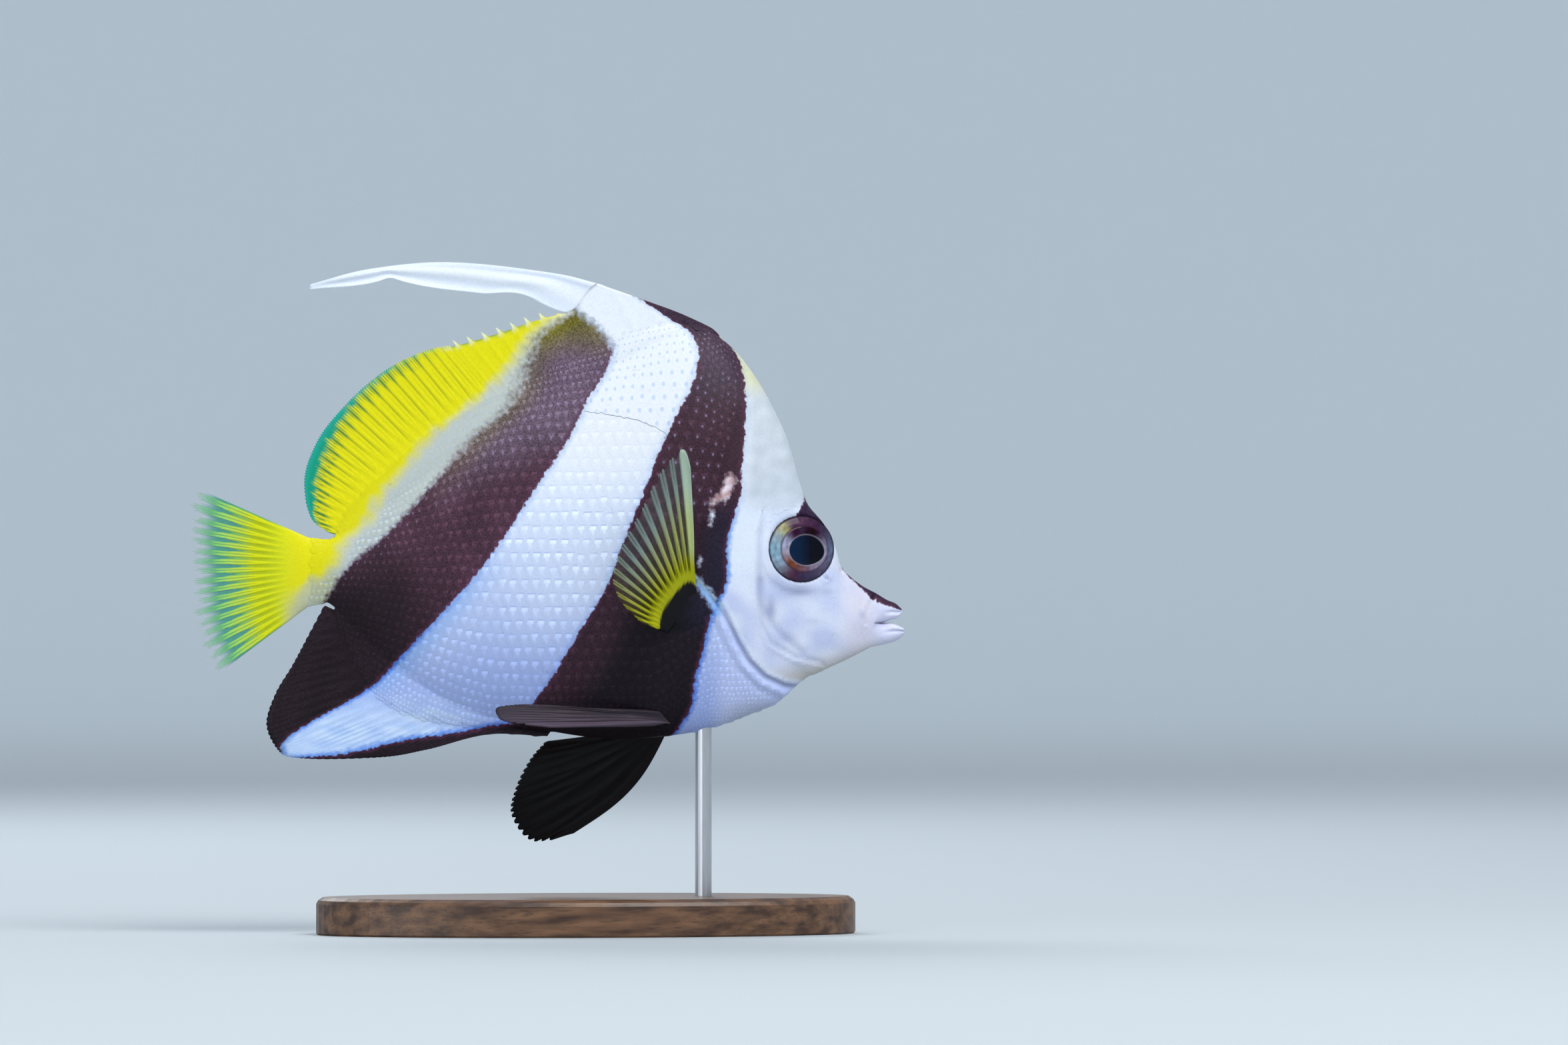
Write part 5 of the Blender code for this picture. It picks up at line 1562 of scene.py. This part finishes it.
def fish_material(name, clear=False, spots=False):
    """Skin and scales: pale ground, dark bands with purple and blue rims, fine grain."""
    material, tree, shader, place = new_material(name)
    ground = attribute(tree, "ground", "Color")
    ink = attribute(tree, "ink", "Color").times(place.noise(2.6, 2.0).spread(0.35, 0.65, 0.62, 1.45))
    depth, softness, blue = attribute(tree, "edge", "Vector").parts()
    if spots:
        tile, row_shadow, dot, bead, below = spot_pattern(tree)
        low = below * (place.parts()[2].step(0.114, 0.098) * 0.75 + 0.25)
        vary = place.noise(0.30, 1.0).step(0.35, 0.65) * 0.6 + 0.4
        ground = ground.times(tile * low * vary * 0.30 + 0.93 - low * 0.06)
        # Painted shadow along the upper part of each scale on the lower flank, just below the edge of the row
        # above.
        ground = ground.under(row_shadow * low * vary * 0.55, (0.26, 0.36, 0.66))
        ground = ground.under(dot * 0.62, (0.40, 0.50, 0.68))
        lively = place.noise(0.25, 1.0).step(0.36, 0.56)
        ink = ink.times(tile * 0.62 + 0.89).under(bead * lively * 0.55, (0.27, 0.25, 0.40))
    depth = depth + (place.noise(0.9) - 0.5) * 1.7 * (softness * 1.6 + 1.0)
    ground = ground.under(depth.step(-1.6, -0.1) * blue, (0.22, 0.42, 0.82), "MULTIPLY")
    ink = ink.under(depth.step(1.2, 0.1) * (1.0 - softness) * 0.5, (0.10, 0.022, 0.060))
    inside = depth / (softness * 2.0 + 0.22)
    grain = place.noise(2.2, 4.0)
    colour = ground.under(inside.step(-1.0, 1.0), ink).times(grain.spread(0.0, 1.0, 0.88, 1.12))
    fill(shader, Base_Color=colour, Roughness=place.noise(0.35).spread(0.0, 1.0, 0.42, 0.58),
         Normal=grain.as_bump(0.25), Specular_IOR_Level=0.15, Coat_Weight=0.03, Coat_Roughness=0.25)
    if clear:
        fill(shader, Alpha=1.0 - attribute(tree, "clear") * 0.95)
    return material


def eye_material():
    """Wet eye: the rings' colours under a clear coat."""
    material, tree, shader, place = new_material("wet_eye")
    grain = place.noise(1.6, 4.0)
    colour = attribute(tree, "ground", "Color").times(grain.spread(0.0, 1.0, 0.75, 1.2))
    fill(shader, Base_Color=colour, Roughness=grain.spread(0.0, 1.0, 0.12, 0.22),
         Specular_IOR_Level=0.05, Coat_Weight=0.22, Coat_Roughness=0.08)
    return material


def walnut_material():
    """Satin walnut with grain along the stand."""
    material, _, shader, place = new_material("walnut")
    grain = place.stretched((0.12, 1.0, 1.0)).noise(0.45, 6.0)
    pore = place.stretched((0.05, 1.0, 1.0)).noise(2.4, 2.0).step(0.56, 0.66)
    wood = grain.spread(0.36, 0.66, 0.0, 1.0).between((0.050, 0.021, 0.010), (0.180, 0.088, 0.042))
    fill(shader, Base_Color=wood.under(pore * 0.45, (0.02, 0.009, 0.005)),
         Roughness=grain.spread(0.0, 1.0, 0.32, 0.48), Normal=pore.as_bump(-0.3))
    return material


def steel_material():
    """Brushed steel of the rod."""
    material, _, shader, place = new_material("brushed_rod")
    streak = place.stretched((1.0, 1.0, 0.04)).noise(3.0, 3.0)
    fill(shader, Base_Color=streak.between((0.48, 0.48, 0.50), (0.70, 0.70, 0.72)),
         Roughness=streak.spread(0.0, 1.0, 0.24, 0.42), Metallic=1.0)
    return material


def dress_stand():
    """Give the stand's solids their finish."""
    for name, material in (("stand_base", walnut_material()), ("stand_rod", steel_material())):
        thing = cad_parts[name]
        thing.data.materials.clear()
        thing.data.materials.append(material)


def add_stage():
    """Round pale floor that curves up into a wall all round, far outside every camera."""
    turn = np.linspace(0, math.pi / 2, 13)
    radii = np.array([0.4, 1.2, *(STAGE_FLAT + STAGE_CURVE * np.sin(turn)), STAGE_FLAT + STAGE_CURVE])
    heights = np.array([0.0, 0.0, *(STAGE_CURVE * (1 - np.cos(turn))), STAGE_TOP])
    around = np.linspace(0, 2 * math.pi, STAGE_SIDES, endpoint=False)
    points = np.stack([np.outer(radii, np.cos(around)), np.outer(radii, np.sin(around)),
                       np.repeat(heights[:, None], STAGE_SIDES, axis=1)], axis=-1)
    ids = np.arange(len(radii) * STAGE_SIDES).reshape(len(radii), STAGE_SIDES)
    ids = np.concatenate([ids, ids[:, :1]], axis=1)
    faces = fan_faces(len(radii) * STAGE_SIDES, ids[0]) + grid_faces(ids)
    mesh = bpy.data.meshes.new("floor")
    mesh.from_pydata(points.reshape(-1, 3).tolist() + [(0, 0, 0)], [], faces)
    mesh.shade_smooth()
    material, _, shader, place = new_material("floor_paint")
    made, far = place.node("ShaderNodeVectorMath", 1, i0=place)
    made.operation = "LENGTH"
    # Painted light: the floor is darker near the middle, where the lamps light it most, and paler towards the
    # wall, which evens out the light.
    paint = far.step(0.6, 4.2).between((0.44, 0.48, 0.51), (0.78, 0.83, 0.87))
    fill(shader, Base_Color=paint, Roughness=0.85)
    mesh.materials.append(material)
    floor = add_object("floor", mesh)


def add_light(name, place, size, power, colour):
    """One soft box that faces the fish."""
    data = bpy.data.lights.new(name, "AREA")
    data.shape = "RECTANGLE"
    data.size, data.size_y = size
    data.energy = power
    data.color = colour
    light = add_object(name, data)
    light.location = place
    light.rotation_mode = "QUATERNION"
    light.rotation_quaternion = (Vector(place) - Vector(LIGHT_AIM)).to_track_quat("Z", "Y")


def add_lights():
    """Soft studio light, mostly from above and in front."""
    add_light("key", (0.5, -0.9, 1.25), (0.9, 0.9), 18.0, (1.0, 0.99, 0.97))
    add_light("fill", (-1.1, -1.0, 0.4), (1.0, 0.8), 6.0, (0.90, 0.95, 1.0))
    add_light("rim", (-0.3, 1.1, 0.9), (1.0, 0.6), 9.0, (0.93, 0.97, 1.0))
    world = bpy.data.worlds.new("studio")
    bpy.context.scene.world = world
    world.use_nodes = True
    fill(world.node_tree.nodes["Background"], Color=(0.86, 0.93, 1.0), Strength=0.8)
    bpy.context.scene.view_settings.view_transform = "Standard"


def add_camera():
    """Camera at the photograph's angle, level and from the fish's right."""
    data = bpy.data.cameras.new("camera")
    data.lens = CAMERA_LENS
    data.sensor_width = 36.0
    data.clip_start, data.clip_end = 0.05, 50
    camera = add_object("camera", data)
    back = np.array([math.sin(CAMERA_TURN), -math.cos(CAMERA_TURN), 0.0])
    camera.location = np.array(CAMERA_AIM) + back * CAMERA_REACH
    camera.rotation_euler = (math.pi / 2, 0, CAMERA_TURN)
    bpy.context.scene.camera = camera


def dress():
    """Make every piece of the scene."""
    skin_paint = fish_material("fish_skin")
    clear_paint = fish_material("clear_fin", clear=True)
    scale_paint = fish_material("fish_scales", spots=True)
    add_skin(skin_paint, clear_paint)
    add_coat(scale_paint, skin_paint)
    add_paired_fins(skin_paint, clear_paint)
    wet = eye_material()
    for side, word in SIDES:
        add_eye(word, side, wet)
    dress_stand()
    add_stage()
    add_lights()
    add_camera()


dress()
